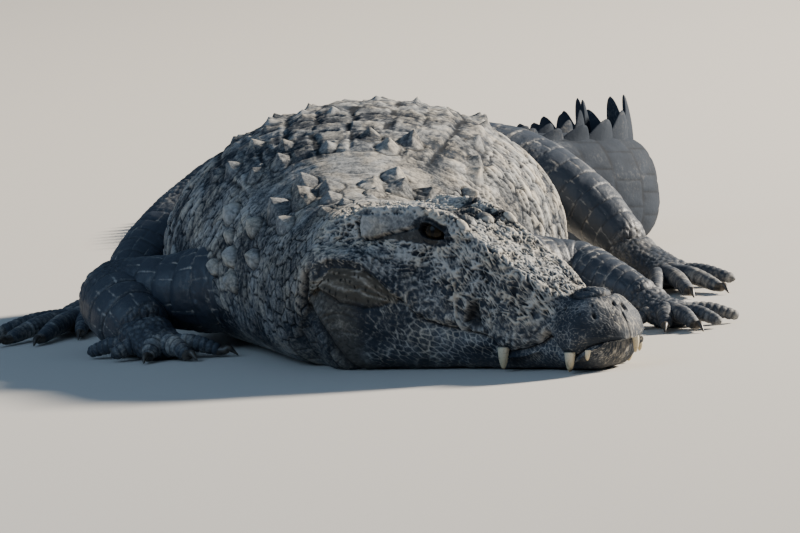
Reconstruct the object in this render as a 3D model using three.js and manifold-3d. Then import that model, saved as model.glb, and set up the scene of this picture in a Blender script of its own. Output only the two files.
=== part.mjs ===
// A mugger crocodile (Crocodylus palustris), a heavy old male of 3.75 m, lying flat on its belly
// with its chin on the floor, its head turned to its left and its tail folded behind it.
// Millimetres, +Z up, the floor at z = 0. The origin lies on the floor under the middle of the trunk,
// +X runs forwards along the trunk there and +Y to the animal's left.
import * as THREE from 'three';
import Module from 'manifold-3d';
import { mergeVertices } from 'three/addons/utils/BufferGeometryUtils.js';

const wasm = await Module();
wasm.setup();

// ---------- driving dimensions ----------
const TOTAL_LENGTH = 3750;        // snout tip to tail tip along the spine
const HEAD_LENGTH = 545;          // snout tip to the back of the jaws
const NECK_END = 720;             // where the neck meets the shoulders
const TRUNK_MIDDLE = 1270;        // the spine station that lies over the origin
const VENT = 1850;                // where the trunk ends and the tail begins
const GAP = 0.3;                  // clearance between nodes that touch
const SPINE_STEP = 5;             // integration step of the spine

// ---------- tables: [station in mm, value] read by a monotone cubic ----------
function table(points) {
  const n = points.length;
  const slope = [];
  for (let i = 0; i < n - 1; i++) {
    slope.push((points[i + 1][1] - points[i][1]) / (points[i + 1][0] - points[i][0]));
  }
  const tangent = points.map((p, i) => {
    if (i === 0) return slope[0];
    if (i === n - 1) return slope[n - 2];
    const [a, b] = [slope[i - 1], slope[i]];
    return a * b <= 0 ? 0 : (2 * a * b) / (a + b);
  });
  return (x) => {
    if (x <= points[0][0]) return points[0][1];
    if (x >= points[n - 1][0]) return points[n - 1][1];
    let i = 0;
    while (x > points[i + 1][0]) i++;
    const h = points[i + 1][0] - points[i][0];
    const t = (x - points[i][0]) / h;
    return (
      points[i][1] * (2 * t ** 3 - 3 * t ** 2 + 1) +
      h * tangent[i] * (t ** 3 - 2 * t ** 2 + t) +
      points[i + 1][1] * (3 * t ** 2 - 2 * t ** 3) +
      h * tangent[i + 1] * (t ** 3 - t ** 2)
    );
  };
}

const smooth = (x, a, b) => {
  const t = Math.min(1, Math.max(0, (x - a) / (b - a)));
  return t * t * (3 - 2 * t);
};

// ---------- the spine: heading in degrees from +X towards +Y, along the body ----------
const heading = table([
  [0, 50.5], [505, 50.5], [556, 36], [600, 18], [640, 8], [700, 6], [760, 5], [860, 3], [1000, 1], [1270, 0],
  [1450, -3], [1600, -6], [1730, -12], [1850, -28], [1950, -43], [2050, -50], [2140, -50], [2215, -40],
  [2285, -20], [2355, 12], [2430, 42], [2520, 58], [2650, 64], [2900, 54], [3300, 30], [3750, 4],
]);

const spine = [];
for (let s = 0; s <= TOTAL_LENGTH; s += SPINE_STEP) {
  if (s === 0) {
    spine.push(new THREE.Vector2(0, 0));
    continue;
  }
  const turn = THREE.MathUtils.degToRad(heading(s - SPINE_STEP / 2));
  const back = new THREE.Vector2(Math.cos(turn), Math.sin(turn)).multiplyScalar(-SPINE_STEP);
  spine.push(spine.at(-1).clone().add(back));
}
const middle = spine[TRUNK_MIDDLE / SPINE_STEP].clone();
spine.forEach((p) => p.sub(middle));

// The neck bends more sharply than its cross-sections turn, so they never cross on the inner side.
const neckTurn = table([[0, 50.5], [545, 50.5], [600, 43], [660, 30], [720, 17], [780, 8.5], [860, 3]]);
const sectionTurn = (s) => (s < 860 ? neckTurn(s) : heading(s));

// The frame at a station: a point on the floor, the facing direction and the direction to the left.
function frameAt(s) {
  const turn = THREE.MathUtils.degToRad(sectionTurn(s));
  const facing = new THREE.Vector3(Math.cos(turn), Math.sin(turn), 0);
  const left = new THREE.Vector3(-facing.y, facing.x, 0);
  const i = Math.min(spine.length - 2, Math.max(0, Math.floor(s / SPINE_STEP)));
  const p = spine[i].clone().lerp(spine[i + 1], s / SPINE_STEP - i);
  return { origin: new THREE.Vector3(p.x, p.y, 0), facing, left };
}

// A point given by its station, its distance to the left and its height.
function place(s, y, z) {
  const f = frameAt(s);
  return f.origin.addScaledVector(f.left, y).setZ(z);
}

// ---------- trunk, neck and tail: the section is a squared ellipse ----------
const halfWidth = table([
  [540, 170], [600, 172], [660, 180], [720, 194], [800, 226], [900, 270], [1050, 320], [1200, 336],
  [1350, 314], [1500, 272], [1650, 226], [1730, 198], [1850, 160], [1950, 130], [2100, 105],
  [2300, 88], [2500, 74], [2900, 50], [3300, 28], [3650, 13], [3750, 6],
]);
const topHeight = table([
  [540, 255], [600, 258], [660, 264], [720, 274], [800, 294], [900, 321], [1050, 345], [1200, 355],
  [1350, 351], [1500, 331], [1650, 301], [1730, 282], [1850, 259], [1950, 241], [2100, 222],
  [2250, 205], [2450, 180], [2800, 142], [3200, 100], [3600, 50], [3750, 24],
]);
const widestAt = table([[560, 0.36], [900, 0.36], [1300, 0.34], [1800, 0.42], [2100, 0.4], [3750, 0.42]]);
const upperPower = table([[560, 2.1], [900, 2.0], [1300, 2.05], [1800, 2.1], [2050, 2.5], [3750, 2.3]]);
const lowerPower = table([[560, 2.6], [1300, 2.8], [1800, 2.5], [2200, 2.2], [3750, 2.1]]);
const BELLY_SINK = 0.05;          // share of the height that the floor presses flat

function bodySection(s, t) {
  const height = topHeight(s);
  const low = -BELLY_SINK * height;
  const centre = widestAt(s) * height;
  const angle = Math.PI / 2 - Math.PI * t;
  const power = angle > 0 ? upperPower(s) : lowerPower(s);
  const reach = angle > 0 ? height - centre : centre - low;
  const y = halfWidth(s) * Math.abs(Math.cos(angle)) ** (2 / power);
  const z = centre + Math.sign(angle) * reach * Math.abs(Math.sin(angle)) ** (2 / power);
  return [y, Math.max(0, z)];
}

// ---------- head: lines that run from the snout tip back to the neck ----------
const lipHalf = table([[0, 62], [45, 75], [85, 71], [120, 57], [155, 76], [188, 84], [240, 86], [300, 99],
  [360, 117], [420, 138], [480, 155], [530, 165], [560, 168]]);
const lipHeight = table([[0, 50], [30, 44], [61, 29], [84, 31], [104, 42], [122, 55], [140, 45], [160, 38],
  [192, 35], [207, 37], [228, 54], [289, 68], [340, 80], [380, 113], [447, 164], [490, 168], [530, 156],
  [560, 148]]);
const topLine = table([[0, 100], [30, 116], [70, 124], [105, 121], [135, 134], [161, 149], [197, 168],
  [233, 187], [262, 202], [296, 222], [326, 234], [364, 240], [420, 244], [480, 248], [560, 252]]);
const edgeHalf = table([[0, 30], [50, 38], [105, 36], [140, 47], [180, 57], [233, 61], [290, 63], [335, 62],
  [364, 66], [400, 70], [440, 82], [480, 92], [520, 98], [560, 102]]);
const edgeHeight = table([[0, 92], [50, 112], [105, 112], [135, 126], [161, 144], [197, 165], [233, 187],
  [262, 205], [296, 228], [326, 243], [365, 250], [430, 250], [478, 250], [510, 242], [560, 242]]);
const sideHalf = table([[0, 50], [50, 66], [120, 50], [200, 73], [250, 78], [290, 81], [350, 83], [400, 92],
  [480, 112], [530, 136], [560, 148]]);
const sideHeight = table([[0, 82], [50, 88], [120, 90], [160, 108], [200, 126], [250, 148], [290, 162],
  [350, 184], [400, 200], [480, 208], [530, 208], [560, 206]]);
const cheekHalf = table([[0, 60], [45, 75], [85, 70], [120, 56], [160, 80], [188, 86], [240, 87], [300, 98],
  [360, 116], [420, 138], [480, 156], [530, 168], [560, 172]]);
const cheekHeight = table([[0, 64], [50, 64], [120, 76], [188, 68], [240, 80], [300, 98], [350, 118],
  [400, 152], [447, 184], [500, 188], [560, 182]]);
const jawHalf = table([[0, 46], [50, 60], [120, 58], [200, 70], [290, 90], [350, 110], [420, 138],
  [480, 160], [530, 174], [560, 178]]);
const jawHeight = table([[0, 26], [120, 27], [200, 30], [300, 38], [420, 64], [500, 86], [560, 90]]);
const chinHalf = table([[0, 28], [50, 40], [120, 42], [200, 52], [300, 68], [420, 102], [500, 128], [560, 140]]);
const LIP_ROUND = 12;             // height of the rounded lip above and below the mouth line
const MOUTH_DEPTH = table([[0, 10], [300, 12], [440, 20], [520, 12], [548, 0]]);
const SNOUT_ROUND = 58;           // length over which the snout tip rounds off
const JAW_SETBACK = 16;           // how far the lower jaw's tip lies behind the upper's
const NOSE_POWER = 2.2;

function noseFactor(a) {
  const t = Math.min(1, Math.max(0, a / SNOUT_ROUND));
  return (1 - (1 - t) ** NOSE_POWER) ** (1 / NOSE_POWER);
}

// The eleven control points of a head section, from the crown's midline to the throat's.
function headControls(a) {
  const lip = lipHeight(a);
  const crown = topLine(a);
  const f = noseFactor(a);
  const fLow = noseFactor(a - JAW_SETBACK);
  const upper = [
    [0, crown],
    [edgeHalf(a) * 0.55, crown + 0.35 * (edgeHeight(a) - crown)],
    [edgeHalf(a), edgeHeight(a)],
    [sideHalf(a), sideHeight(a)],
    [cheekHalf(a), cheekHeight(a)],
    [lipHalf(a), lip + LIP_ROUND],
    [lipHalf(a) - MOUTH_DEPTH(a), lip],
  ];
  const lower = [
    [lipHalf(a) - 0.35 * MOUTH_DEPTH(a), lip - LIP_ROUND],
    [jawHalf(a), jawHeight(a)],
    [chinHalf(a), 5],
    [0, 0],
  ];
  return [
    ...upper.map(([y, z]) => [y * f, lip + (z - lip) * f]),
    ...lower.map(([y, z]) => [y * f, lip + (z - lip) * fLow]),
  ];
}
const MOUTH_AT = 0.6;             // where the mouth line lies between crown 0 and throat 1

function headSection(a, t) {
  const c = headControls(a);
  const x = t * (c.length - 1);
  const i = Math.min(c.length - 2, Math.floor(x));
  const u = x - i;
  const at = (k) => c[Math.min(c.length - 1, Math.max(0, k))];
  // Mirrored neighbours keep the section square to the midline.
  const before = i === 0 ? [-c[1][0], c[1][1]] : at(i - 1);
  const after = i === c.length - 2 ? [-c[i][0], c[i][1]] : at(i + 2);
  return [0, 1].map((k) => 0.5 * (
    2 * at(i)[k] + (at(i + 1)[k] - before[k]) * u +
    (2 * before[k] - 5 * at(i)[k] + 4 * at(i + 1)[k] - after[k]) * u * u +
    (3 * at(i)[k] - before[k] - 3 * at(i + 1)[k] + after[k]) * u ** 3
  ));
}

// A point of the half section, [distance from the midline, height], with t from 0 at the top to 1 below.
function section(s, t) {
  const share = smooth(s, 495, 610);
  if (share >= 1) return bodySection(s, t);
  const head = headSection(Math.min(s, HEAD_LENGTH), t);
  if (share <= 0) return [head[0], Math.max(0, head[1])];
  const body = bodySection(s, t);
  return [0, 1].map((k) => Math.max(0, head[k] + (body[k] - head[k]) * share));
}

// ---------- solids ----------
// A closed geometry through rings of points, with flat ends.
function loft(rings) {
  const n = rings[0].length;
  const positions = rings.flat().flatMap((p) => [p.x, p.y, p.z]);
  const faces = [];
  for (let i = 0; i < rings.length - 1; i++) {
    for (let j = 0; j < n; j++) {
      const a = i * n + j;
      const b = i * n + ((j + 1) % n);
      faces.push(a, b, a + n, b, b + n, a + n);
    }
  }
  // Each end is a fan round the middle of its ring.
  const cap = (start, ring, flip) => {
    const hub = positions.length / 3;
    const centre = ring.reduce((sum, p) => sum.add(p), new THREE.Vector3()).divideScalar(n);
    positions.push(centre.x, centre.y, centre.z);
    for (let j = 0; j < n; j++) {
      const [a, b] = [start + j, start + ((j + 1) % n)];
      faces.push(...(flip ? [hub, b, a] : [hub, a, b]));
    }
  };
  cap(0, rings[0], true);
  cap((rings.length - 1) * n, rings.at(-1), false);
  const geometry = new THREE.BufferGeometry();
  geometry.setAttribute('position', new THREE.Float32BufferAttribute(positions, 3));
  geometry.setIndex(faces);
  return geometry;
}

function solid(geometry) {
  const bare = geometry.clone();
  bare.deleteAttribute('normal');
  bare.deleteAttribute('uv');
  const merged = mergeVertices(bare, 1e-3);
  const made = new wasm.Manifold(new wasm.Mesh({
    numProp: 3,
    vertProperties: new Float32Array(merged.attributes.position.array),
    triVerts: new Uint32Array(merged.index.array),
  }));
  if (made.volume() > 0) return made;
  const turned = new Uint32Array(merged.index.array);
  for (let i = 0; i < turned.length; i += 3) {
    [turned[i + 1], turned[i + 2]] = [turned[i + 2], turned[i + 1]];
  }
  return new wasm.Manifold(new wasm.Mesh({
    numProp: 3,
    vertProperties: new Float32Array(merged.attributes.position.array),
    triVerts: turned,
  }));
}

const union = (pieces) => pieces.slice(1).reduce((sum, piece) => sum.add(piece), pieces[0]);

// The largest closed surface of a solid, without loose scraps or sealed hollows.
function largest(manifold) {
  const parts = manifold.decompose();
  return parts.reduce((best, p) => (p.volume() > best.volume() ? p : best), parts[0]);
}

const group = new THREE.Group();
function addNode(name, manifold, material) {
  const mesh = largest(manifold).getMesh();
  const geometry = new THREE.BufferGeometry();
  geometry.setAttribute('position', new THREE.BufferAttribute(new Float32Array(mesh.vertProperties), 3));
  geometry.setIndex(new THREE.BufferAttribute(new Uint32Array(mesh.triVerts), 1));
  geometry.computeVertexNormals();
  const node = new THREE.Mesh(geometry, material);
  node.name = name;
  group.add(node);
}

// ---------- materials ----------
const skin = new THREE.MeshStandardMaterial({ color: 0x6d6f6b, roughness: 0.75, metalness: 0 });
const limbSkin = new THREE.MeshStandardMaterial({ color: 0x3d4453, roughness: 0.6, metalness: 0 });
const horn = new THREE.MeshStandardMaterial({ color: 0x3a3228, roughness: 0.45, metalness: 0 });
const eyeball = new THREE.MeshStandardMaterial({ color: 0x3b2a14, roughness: 0.1, metalness: 0 });

// ---------- rings of the body ----------
// The back carries rows of keeled scutes: [share round the section, keel height] of each pair.
const SCUTE_ROWS = 16;
const ROW_FROM = 860;
const ROW_PITCH = 60;
const SCUTE_COLUMNS = [[0.04, 16], [0.088, 18], [0.14, 18], [0.205, 15]];
const COLUMNS = [0, 0.04, 0.064, 0.088, 0.114, 0.14, 0.172, 0.205, 0.245, 0.3, 0.38, 0.48, 0.62, 0.84, 1];
const LONG_ROWS = 12;             // the rows in front of this one reach out to the outermost column
const KEEL_FRONT = 0.3;           // where a keel starts to rise steeply, as a share of its row
const KEEL_PEAK = 0.76;           // where it is highest

// A repeatable scatter between -1 and 1 that varies the scutes.
const jitter = (k) => {
  const x = Math.sin(k * 127.1 + 11.7) * 43758.5453;
  return 2 * (x - Math.floor(x)) - 1;
};

// How far the skin rises into a keel at a station and a share round the section.
function keel(s, t, side) {
  const row = Math.floor((s - ROW_FROM + 1) / ROW_PITCH);
  if (row < 0 || row >= SCUTE_ROWS) return 0;
  const k = SCUTE_COLUMNS.findIndex(([at]) => Math.abs(at - t) < 0.01);
  if (k < 0 || (k === SCUTE_COLUMNS.length - 1 && row >= LONG_ROWS)) return 0;
  const u = (s - ROW_FROM) / ROW_PITCH - row;
  if (u < 0.05) return 0;
  const rise = u < 0.5 ? 0.5 : 1;
  return SCUTE_COLUMNS[k][1] * rise * (1 + 0.22 * jitter(row * 7 + k * 3 + side));
}

function bodyRing(s, list = COLUMNS, grow = 0) {
  const point = (t, side) => {
    const [y, z] = section(s, t);
    const out = new THREE.Vector2(y, z - 0.4 * topHeight(s)).normalize().multiplyScalar(keel(s, t, side));
    return place(s, side * (y + out.x), z + out.y);
  };
  const ring = [
    ...list.map((t) => point(t, -1)),
    ...list.slice(1, -1).reverse().map((t) => point(t, 1)),
  ];
  if (!grow) return ring;
  const centre = place(s, 0, 0.4 * topHeight(s));
  return ring.map((p) => p.clone().add(p.clone().sub(centre).setLength(grow)));
}

function stations(from, to, step) {
  const count = Math.max(1, Math.round((to - from) / step));
  return Array.from({ length: count + 1 }, (_, i) => from + ((to - from) * i) / count);
}

// Stations of the trunk: a valley, a keel's front and a keel's peak for each row of scutes.
function trunkStations(from, to) {
  const list = stations(NECK_END, ROW_FROM, 40).slice(0, -1);
  for (let row = 0; row < SCUTE_ROWS; row++) {
    list.push(...[0, KEEL_FRONT, KEEL_PEAK].map((u) => ROW_FROM + (row + u) * ROW_PITCH));
  }
  list.push(ROW_FROM + SCUTE_ROWS * ROW_PITCH, VENT);
  return [from, ...list.filter((s) => s > from + 2 && s < to - 2), to];
}

// A length of the body through a list of stations, set back by the gap where it follows another node.
function bodyLoft(list, columns = COLUMNS, grow = 0, setBack = 0) {
  const rings = list.map((s) => bodyRing(s, columns, grow));
  const back = frameAt(list[0]).facing.multiplyScalar(-setBack);
  rings[0].forEach((p) => p.add(back));
  return solid(loft(rings));
}

// ---------- surface places and scutes ----------
function surface(s, t, side) {
  const at = (ss, tt) => {
    const [y, z] = section(ss, tt);
    return place(ss, side * y, z);
  };
  const point = at(s, t);
  const along = at(s + 6, t).sub(at(s - 6, t)).normalize();
  const round = at(s, Math.min(1, t + 0.01)).sub(at(s, Math.max(0, t - 0.01)));
  if (t < 0.01) round.copy(place(s, side, 0).sub(place(s, 0, 0)));
  const normal = new THREE.Vector3().crossVectors(along, round.normalize()).normalize();
  if (normal.z * (t < 0.5 ? 1 : -1) < 0 && Math.abs(normal.z) > 0.15) normal.negate();
  const outward = point.clone().sub(place(s, 0, 0.4 * topHeight(Math.max(s, 560))));
  if (normal.dot(outward) < 0) normal.negate();
  return { point, along, normal };
}

// A keeled plate: a low tent with its ridge along the body, whose foot is sunk into the skin.
const SCUTE_SINK = 8;
function scute(at, length, width, height) {
  const { point, along, normal } = at;
  const across = new THREE.Vector3().crossVectors(normal, along).normalize();
  const put = (l, w, h) => point.clone()
    .addScaledVector(along, l).addScaledVector(across, w).addScaledVector(normal, h);
  const spread = 1 + SCUTE_SINK / (height + SCUTE_SINK);
  const rim = [[-0.5, 0.3], [0.02, 0.5], [0.5, 0.3], [0.5, -0.3], [0.02, -0.5], [-0.5, -0.3]];
  const foot = rim.map(([l, w]) => put(l * length * spread, w * width * spread, -SCUTE_SINK));
  const ridge = [put(-0.22 * length, 0, 0.6 * height), put(0.3 * length, 0, height)];
  const n = rim.length;
  const faces = [];
  for (let i = 1; i < n - 1; i++) faces.push(0, i + 1, i);
  const apex = rim.map(([l]) => (l < 0 ? n : n + 1));
  for (let i = 0; i < n; i++) {
    const j = (i + 1) % n;
    faces.push(i, j, apex[i]);
    if (apex[i] !== apex[j]) faces.push(j, apex[j], apex[i]);
  }
  const geometry = new THREE.BufferGeometry();
  geometry.setAttribute('position', new THREE.Float32BufferAttribute(
    [...foot, ...ridge].flatMap((p) => [p.x, p.y, p.z]), 3));
  geometry.setIndex(faces);
  return solid(geometry);
}

// A tall upright blade of the tail's crest: its lower edge is sunk in the tail and its tip leans back.
function crestBlade(s, y, height, length, thick) {
  const base = 14;
  const top = topHeight(s);
  const at = (ds, dy, z) => place(s + ds, y + dy, z);
  const points = [
    at(-length / 2, -thick / 2, top - base), at(length / 2, -thick / 2, top - base),
    at(length / 2, thick / 2, top - base), at(-length / 2, thick / 2, top - base),
    at(-length / 2, -thick / 2, top - 2), at(length / 2, -thick / 2, top - 2),
    at(length / 2, thick / 2, top - 2), at(-length / 2, thick / 2, top - 2),
    at(length * 0.1, 0, top + height * 0.86), at(length * 0.42, 0, top + height),
  ];
  const faces = [
    0, 2, 1, 0, 3, 2, 0, 1, 5, 0, 5, 4, 1, 2, 6, 1, 6, 5, 2, 3, 7, 2, 7, 6, 3, 0, 4, 3, 4, 7,
    4, 5, 9, 4, 9, 8, 5, 6, 9, 6, 7, 8, 6, 8, 9, 7, 4, 8,
  ];
  const geometry = new THREE.BufferGeometry();
  geometry.setAttribute('position', new THREE.Float32BufferAttribute(points.flatMap((p) => [p.x, p.y, p.z]), 3));
  geometry.setIndex(faces);
  return solid(geometry);
}

// ---------- neck and trunk ----------
const NECK_PLATES = [             // [station, share round, length, width, height] of each plate of the nape
  [584, 0.05, 22, 24, 9], [586, 0.14, 22, 22, 9],
  [632, 0.055, 50, 52, 18], [636, 0.15, 46, 40, 20], [684, 0.055, 48, 46, 18], [686, 0.16, 44, 36, 18],
  [660, 0.26, 34, 30, 14],
];
const SHOULDER_STUDS = [          // [station, share round, size] of single scales on the shoulder's side
  [762, 0.3, 34], [790, 0.36, 36], [760, 0.41, 30], [806, 0.44, 34], [776, 0.48, 32],
];
const both = (make) => [-1, 1].map(make);
const neckBody = bodyLoft(stations(HEAD_LENGTH, NECK_END, 30), COLUMNS, 0, GAP);
const neckPlates = NECK_PLATES.flatMap(([s, t, l, w, h]) =>
  both((side) => scute(surface(s, t, side), l, w, h)));
const neckRoom = bodyLoft(stations(HEAD_LENGTH, NECK_END, 60), COLUMNS, 60, GAP);
addNode('neck', union([neckBody, ...neckPlates]).intersect(neckRoom), skin);

const studs = (grow) => SHOULDER_STUDS.flatMap(([s, t, d]) =>
  both((side) => scute(surface(s, t, side), d + 2 * grow, d + 2 * grow, 12 + grow)));
addNode('shoulders', union([bodyLoft(trunkStations(NECK_END, 1100), COLUMNS, 0, GAP), ...studs(0)]), skin);
addNode('torso', bodyLoft(trunkStations(1100, 1520), COLUMNS, 0, GAP), skin);
addNode('hips', bodyLoft(trunkStations(1520, VENT), COLUMNS, 0, GAP), skin);

// ---------- tail ----------
const TAIL_COLUMNS = [0, 0.08, 0.17, 0.28, 0.4, 0.52, 0.64, 0.78, 1];
const DOUBLE_WHORLS = 17;         // scutes in each of the two crests before they join
const SINGLE_WHORLS = 17;
const CREST_JOIN = 2800;          // where the two crests become one
const doublePitch = (CREST_JOIN - VENT) / DOUBLE_WHORLS;
const singlePitch = (TOTAL_LENGTH - 40 - CREST_JOIN) / SINGLE_WHORLS;
const TAIL_JOINTS = [             // nodes end between two whorls, and the sharp bend is two short nodes
  VENT, ...[5, 8, 11].map((k) => VENT + k * doublePitch), CREST_JOIN, CREST_JOIN + 8 * singlePitch, TOTAL_LENGTH,
];
const crestHeight = table([
  [VENT, 8], [2060, 9], [2140, 20], [2200, 36], [2270, 48], [2350, 68], [2430, 54], [2520, 43], [2620, 36],
  [2750, 36], [2850, 43], [3250, 45], [3750, 16],
]);
const crestHalf = table([[VENT, 62], [2050, 50], [2350, 36], [2650, 18], [2800, 6]]);

function crest(from, to) {
  const made = [];
  for (let i = 0; i < DOUBLE_WHORLS; i++) {
    const s = VENT + (i + 0.5) * doublePitch;
    if (s - doublePitch / 2 < from - 1 || s + doublePitch / 2 > to + 1) continue;
    for (const side of [-1, 1]) {
      made.push(crestBlade(s, side * crestHalf(s), crestHeight(s), doublePitch * 0.78, 13));
    }
  }
  for (let i = 0; i < SINGLE_WHORLS; i++) {
    const s = CREST_JOIN + (i + 0.5) * singlePitch;
    if (s - singlePitch / 2 < from - 1 || s + singlePitch / 2 > to + 1) continue;
    made.push(crestBlade(s, 0, crestHeight(s), singlePitch * 0.78, 10));
  }
  return made;
}
for (let i = 0; i < TAIL_JOINTS.length - 1; i++) {
  const [from, to] = [TAIL_JOINTS[i], TAIL_JOINTS[i + 1]];
  const length = bodyLoft(stations(from, to, i < 4 ? 38 : 62), TAIL_COLUMNS, 0, GAP);
  addNode(`tail_${i + 1}`, union([length, ...crest(from, to)]), skin);
}

// ---------- head ----------
const HEAD_STATIONS = [1, 6, 14, 26, 42, 60, 82, 103, 120, 137, 160, 188, 215, 245, 280, 310, 336,
  356, 378, 402, 425, 447, 470, 495, 520, HEAD_LENGTH];
const UPPER_COLUMNS = [0, 0.05, 0.1, 0.15, 0.2, 0.25, 0.3, 0.35, 0.4, 0.45, 0.5, 0.55, MOUTH_AT];
const LOWER_COLUMNS = [MOUTH_AT, 0.65, 0.7, 0.75, 0.8, 0.85, 0.9, 1];

function jawRing(s, list, lift) {
  const half = list.map((t) => {
    const [y, z] = section(s, t);
    return [y, z + (t === MOUTH_AT ? lift : 0)];
  });
  const mirrored = list[0] === 0 ? half.slice(1) : half.slice(0, -1);
  return [
    ...half.map(([y, z]) => place(s, -y, z)),
    ...mirrored.reverse().map(([y, z]) => place(s, y, z)),
  ];
}

function ball(centre, radius, wide = 12, high = 8) {
  const geometry = new THREE.SphereGeometry(radius, wide, high);
  geometry.translate(centre.x, centre.y, centre.z);
  return solid(geometry);
}

// A tube of changing radius along a smooth curve; what would reach below the floor is pressed flat.
// It can be limited to a span of the curve, and grown by a margin to the sides and beyond its ends.
function tube(points, radii, sides, steps, { squash = 1, span = [0, 1], grow = 0 } = {}) {
  const curve = new THREE.CatmullRomCurve3(points, false, 'catmullrom', 0.5);
  const radius = table(radii.map((r, i) => [i / (radii.length - 1), r]));
  const rings = [];
  for (let i = 0; i <= steps; i++) {
    const u = span[0] + ((span[1] - span[0]) * i) / steps;
    const along = curve.getTangent(u);
    const centre = curve.getPoint(u).addScaledVector(along, i === 0 ? -grow : i === steps ? grow : 0);
    const across = new THREE.Vector3(along.y, -along.x, 0).normalize();
    const up = new THREE.Vector3().crossVectors(across, along).normalize();
    const ring = [];
    for (let j = 0; j < sides; j++) {
      const angle = (2 * Math.PI * j) / sides;
      const p = centre.clone()
        .addScaledVector(across, (radius(u) + grow) * Math.cos(angle))
        .addScaledVector(up, (radius(u) * squash + grow) * Math.sin(angle));
      ring.push(p.setZ(Math.max(0, p.z)));
    }
    rings.push(ring);
  }
  return { solid: solid(loft(rings)), curve };
}

// Eyes, each under a raised lid and over a lower one.
const EYE_STATION = 345;
const EYE_RADIUS = 21;
const EYE_OUT = 58;
const EYE_HEIGHT = 218;
const LID_THICK = 5;
const eyeCentre = (side) => place(EYE_STATION, side * EYE_OUT, EYE_HEIGHT);

function lid(side, from, to, turn, thick) {
  const f = frameAt(EYE_STATION);
  const outward = f.left.clone().multiplyScalar(side);
  const points = [];
  for (let i = 0; i <= 6; i++) {
    const angle = THREE.MathUtils.degToRad(from + ((to - from) * i) / 6);
    const lift = THREE.MathUtils.degToRad(turn) * Math.sin((Math.PI * i) / 6);
    const ring = f.facing.clone().multiplyScalar(Math.cos(angle))
      .addScaledVector(outward, Math.sin(angle) * Math.cos(lift));
    ring.z = Math.sin(angle) * Math.sin(lift);
    points.push(eyeCentre(side).addScaledVector(ring, EYE_RADIUS + 0.4 * thick));
  }
  return tube(points, [0.5 * thick, thick, 0.5 * thick], 5, 7).solid;
}

// The nostrils: a low round cushion with two slits.
const NOSTRIL_STATION = 76;
const NOSTRIL_RADIUS = 29;
const NOSTRIL_RISE = 10;
function nostrilCushion() {
  const geometry = new THREE.SphereGeometry(NOSTRIL_RADIUS, 12, 8);
  geometry.scale(1, 1, 0.55);
  const p = place(NOSTRIL_STATION, 0, topLine(NOSTRIL_STATION) - 0.55 * NOSTRIL_RADIUS + NOSTRIL_RISE);
  geometry.translate(p.x, p.y, p.z);
  return solid(geometry);
}
function nostrilSlit(side) {
  const at = (ds, y) => place(NOSTRIL_STATION + ds, side * y, topLine(NOSTRIL_STATION) + NOSTRIL_RISE);
  return tube([at(-12, 8), at(0, 12), at(12, 9)], [2, 4, 2], 5, 3).solid;
}

// Teeth of the upper jaw that show over the lower lip: [station, out, root height, length, radius].
const TEETH = [[34, 64, 38, 15, 4.5], [65, 72, 32, 29, 8], [200, 81, 39, 34, 8.5]];
const FRONT_TOOTH = [8, 20, 50, 17, 5];     // on the left only
function tooth([s, out, z, length, radius], side, grow = 0) {
  const top = place(s, side * (out - 5), z + 10);
  const tip = place(s + 2, side * (out - 1), z - length - grow);
  return tube([top, top.clone().lerp(tip, 0.5), tip],
    [radius + grow, 0.8 * radius + grow, 1.2 + grow], 6, 2).solid;
}
const teeth = (grow) => [
  ...TEETH.flatMap((t) => [-1, 1].map((side) => tooth(t, side, grow))),
  tooth(FRONT_TOOTH, 1, grow),
];

// The slit behind each eye under the edge of the skull table, where the ear flap closes.
function earSlit(side) {
  const along = [404, 440, 476, 496].map((s, i) => {
    const { point, normal } = surface(s, [0.235, 0.245, 0.25, 0.24][i], side);
    return point.addScaledVector(normal, 2);
  });
  return tube(along, [2, 5, 6, 3], 5, 4).solid;
}

const upperHead = solid(loft(HEAD_STATIONS.map((s) => jawRing(s, UPPER_COLUMNS, GAP / 2))));
const lowerHead = solid(loft(HEAD_STATIONS.filter((s) => s > JAW_SETBACK).map((s) =>
  jawRing(s, LOWER_COLUMNS, -GAP / 2))));
const lids = [-1, 1].flatMap((side) => [
  lid(side, -20, 200, 62, 7),
  lid(side, -20, 200, -28, LID_THICK),
]);
let head = union([upperHead, nostrilCushion(), ...lids, ...teeth(0)]);
const hollows = [-1, 1].flatMap((side) => [
  ball(eyeCentre(side), EYE_RADIUS + GAP), nostrilSlit(side), earSlit(side),
]);
for (const hollow of hollows) head = head.subtract(hollow);
addNode('head', head, skin);
addNode('lower_jaw', teeth(GAP).reduce((jaw, t) => jaw.subtract(t), lowerHead), skin);
addNode('eye_right', ball(eyeCentre(-1), EYE_RADIUS), eyeball);
addNode('eye_left', ball(eyeCentre(1), EYE_RADIUS), eyeball);

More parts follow.
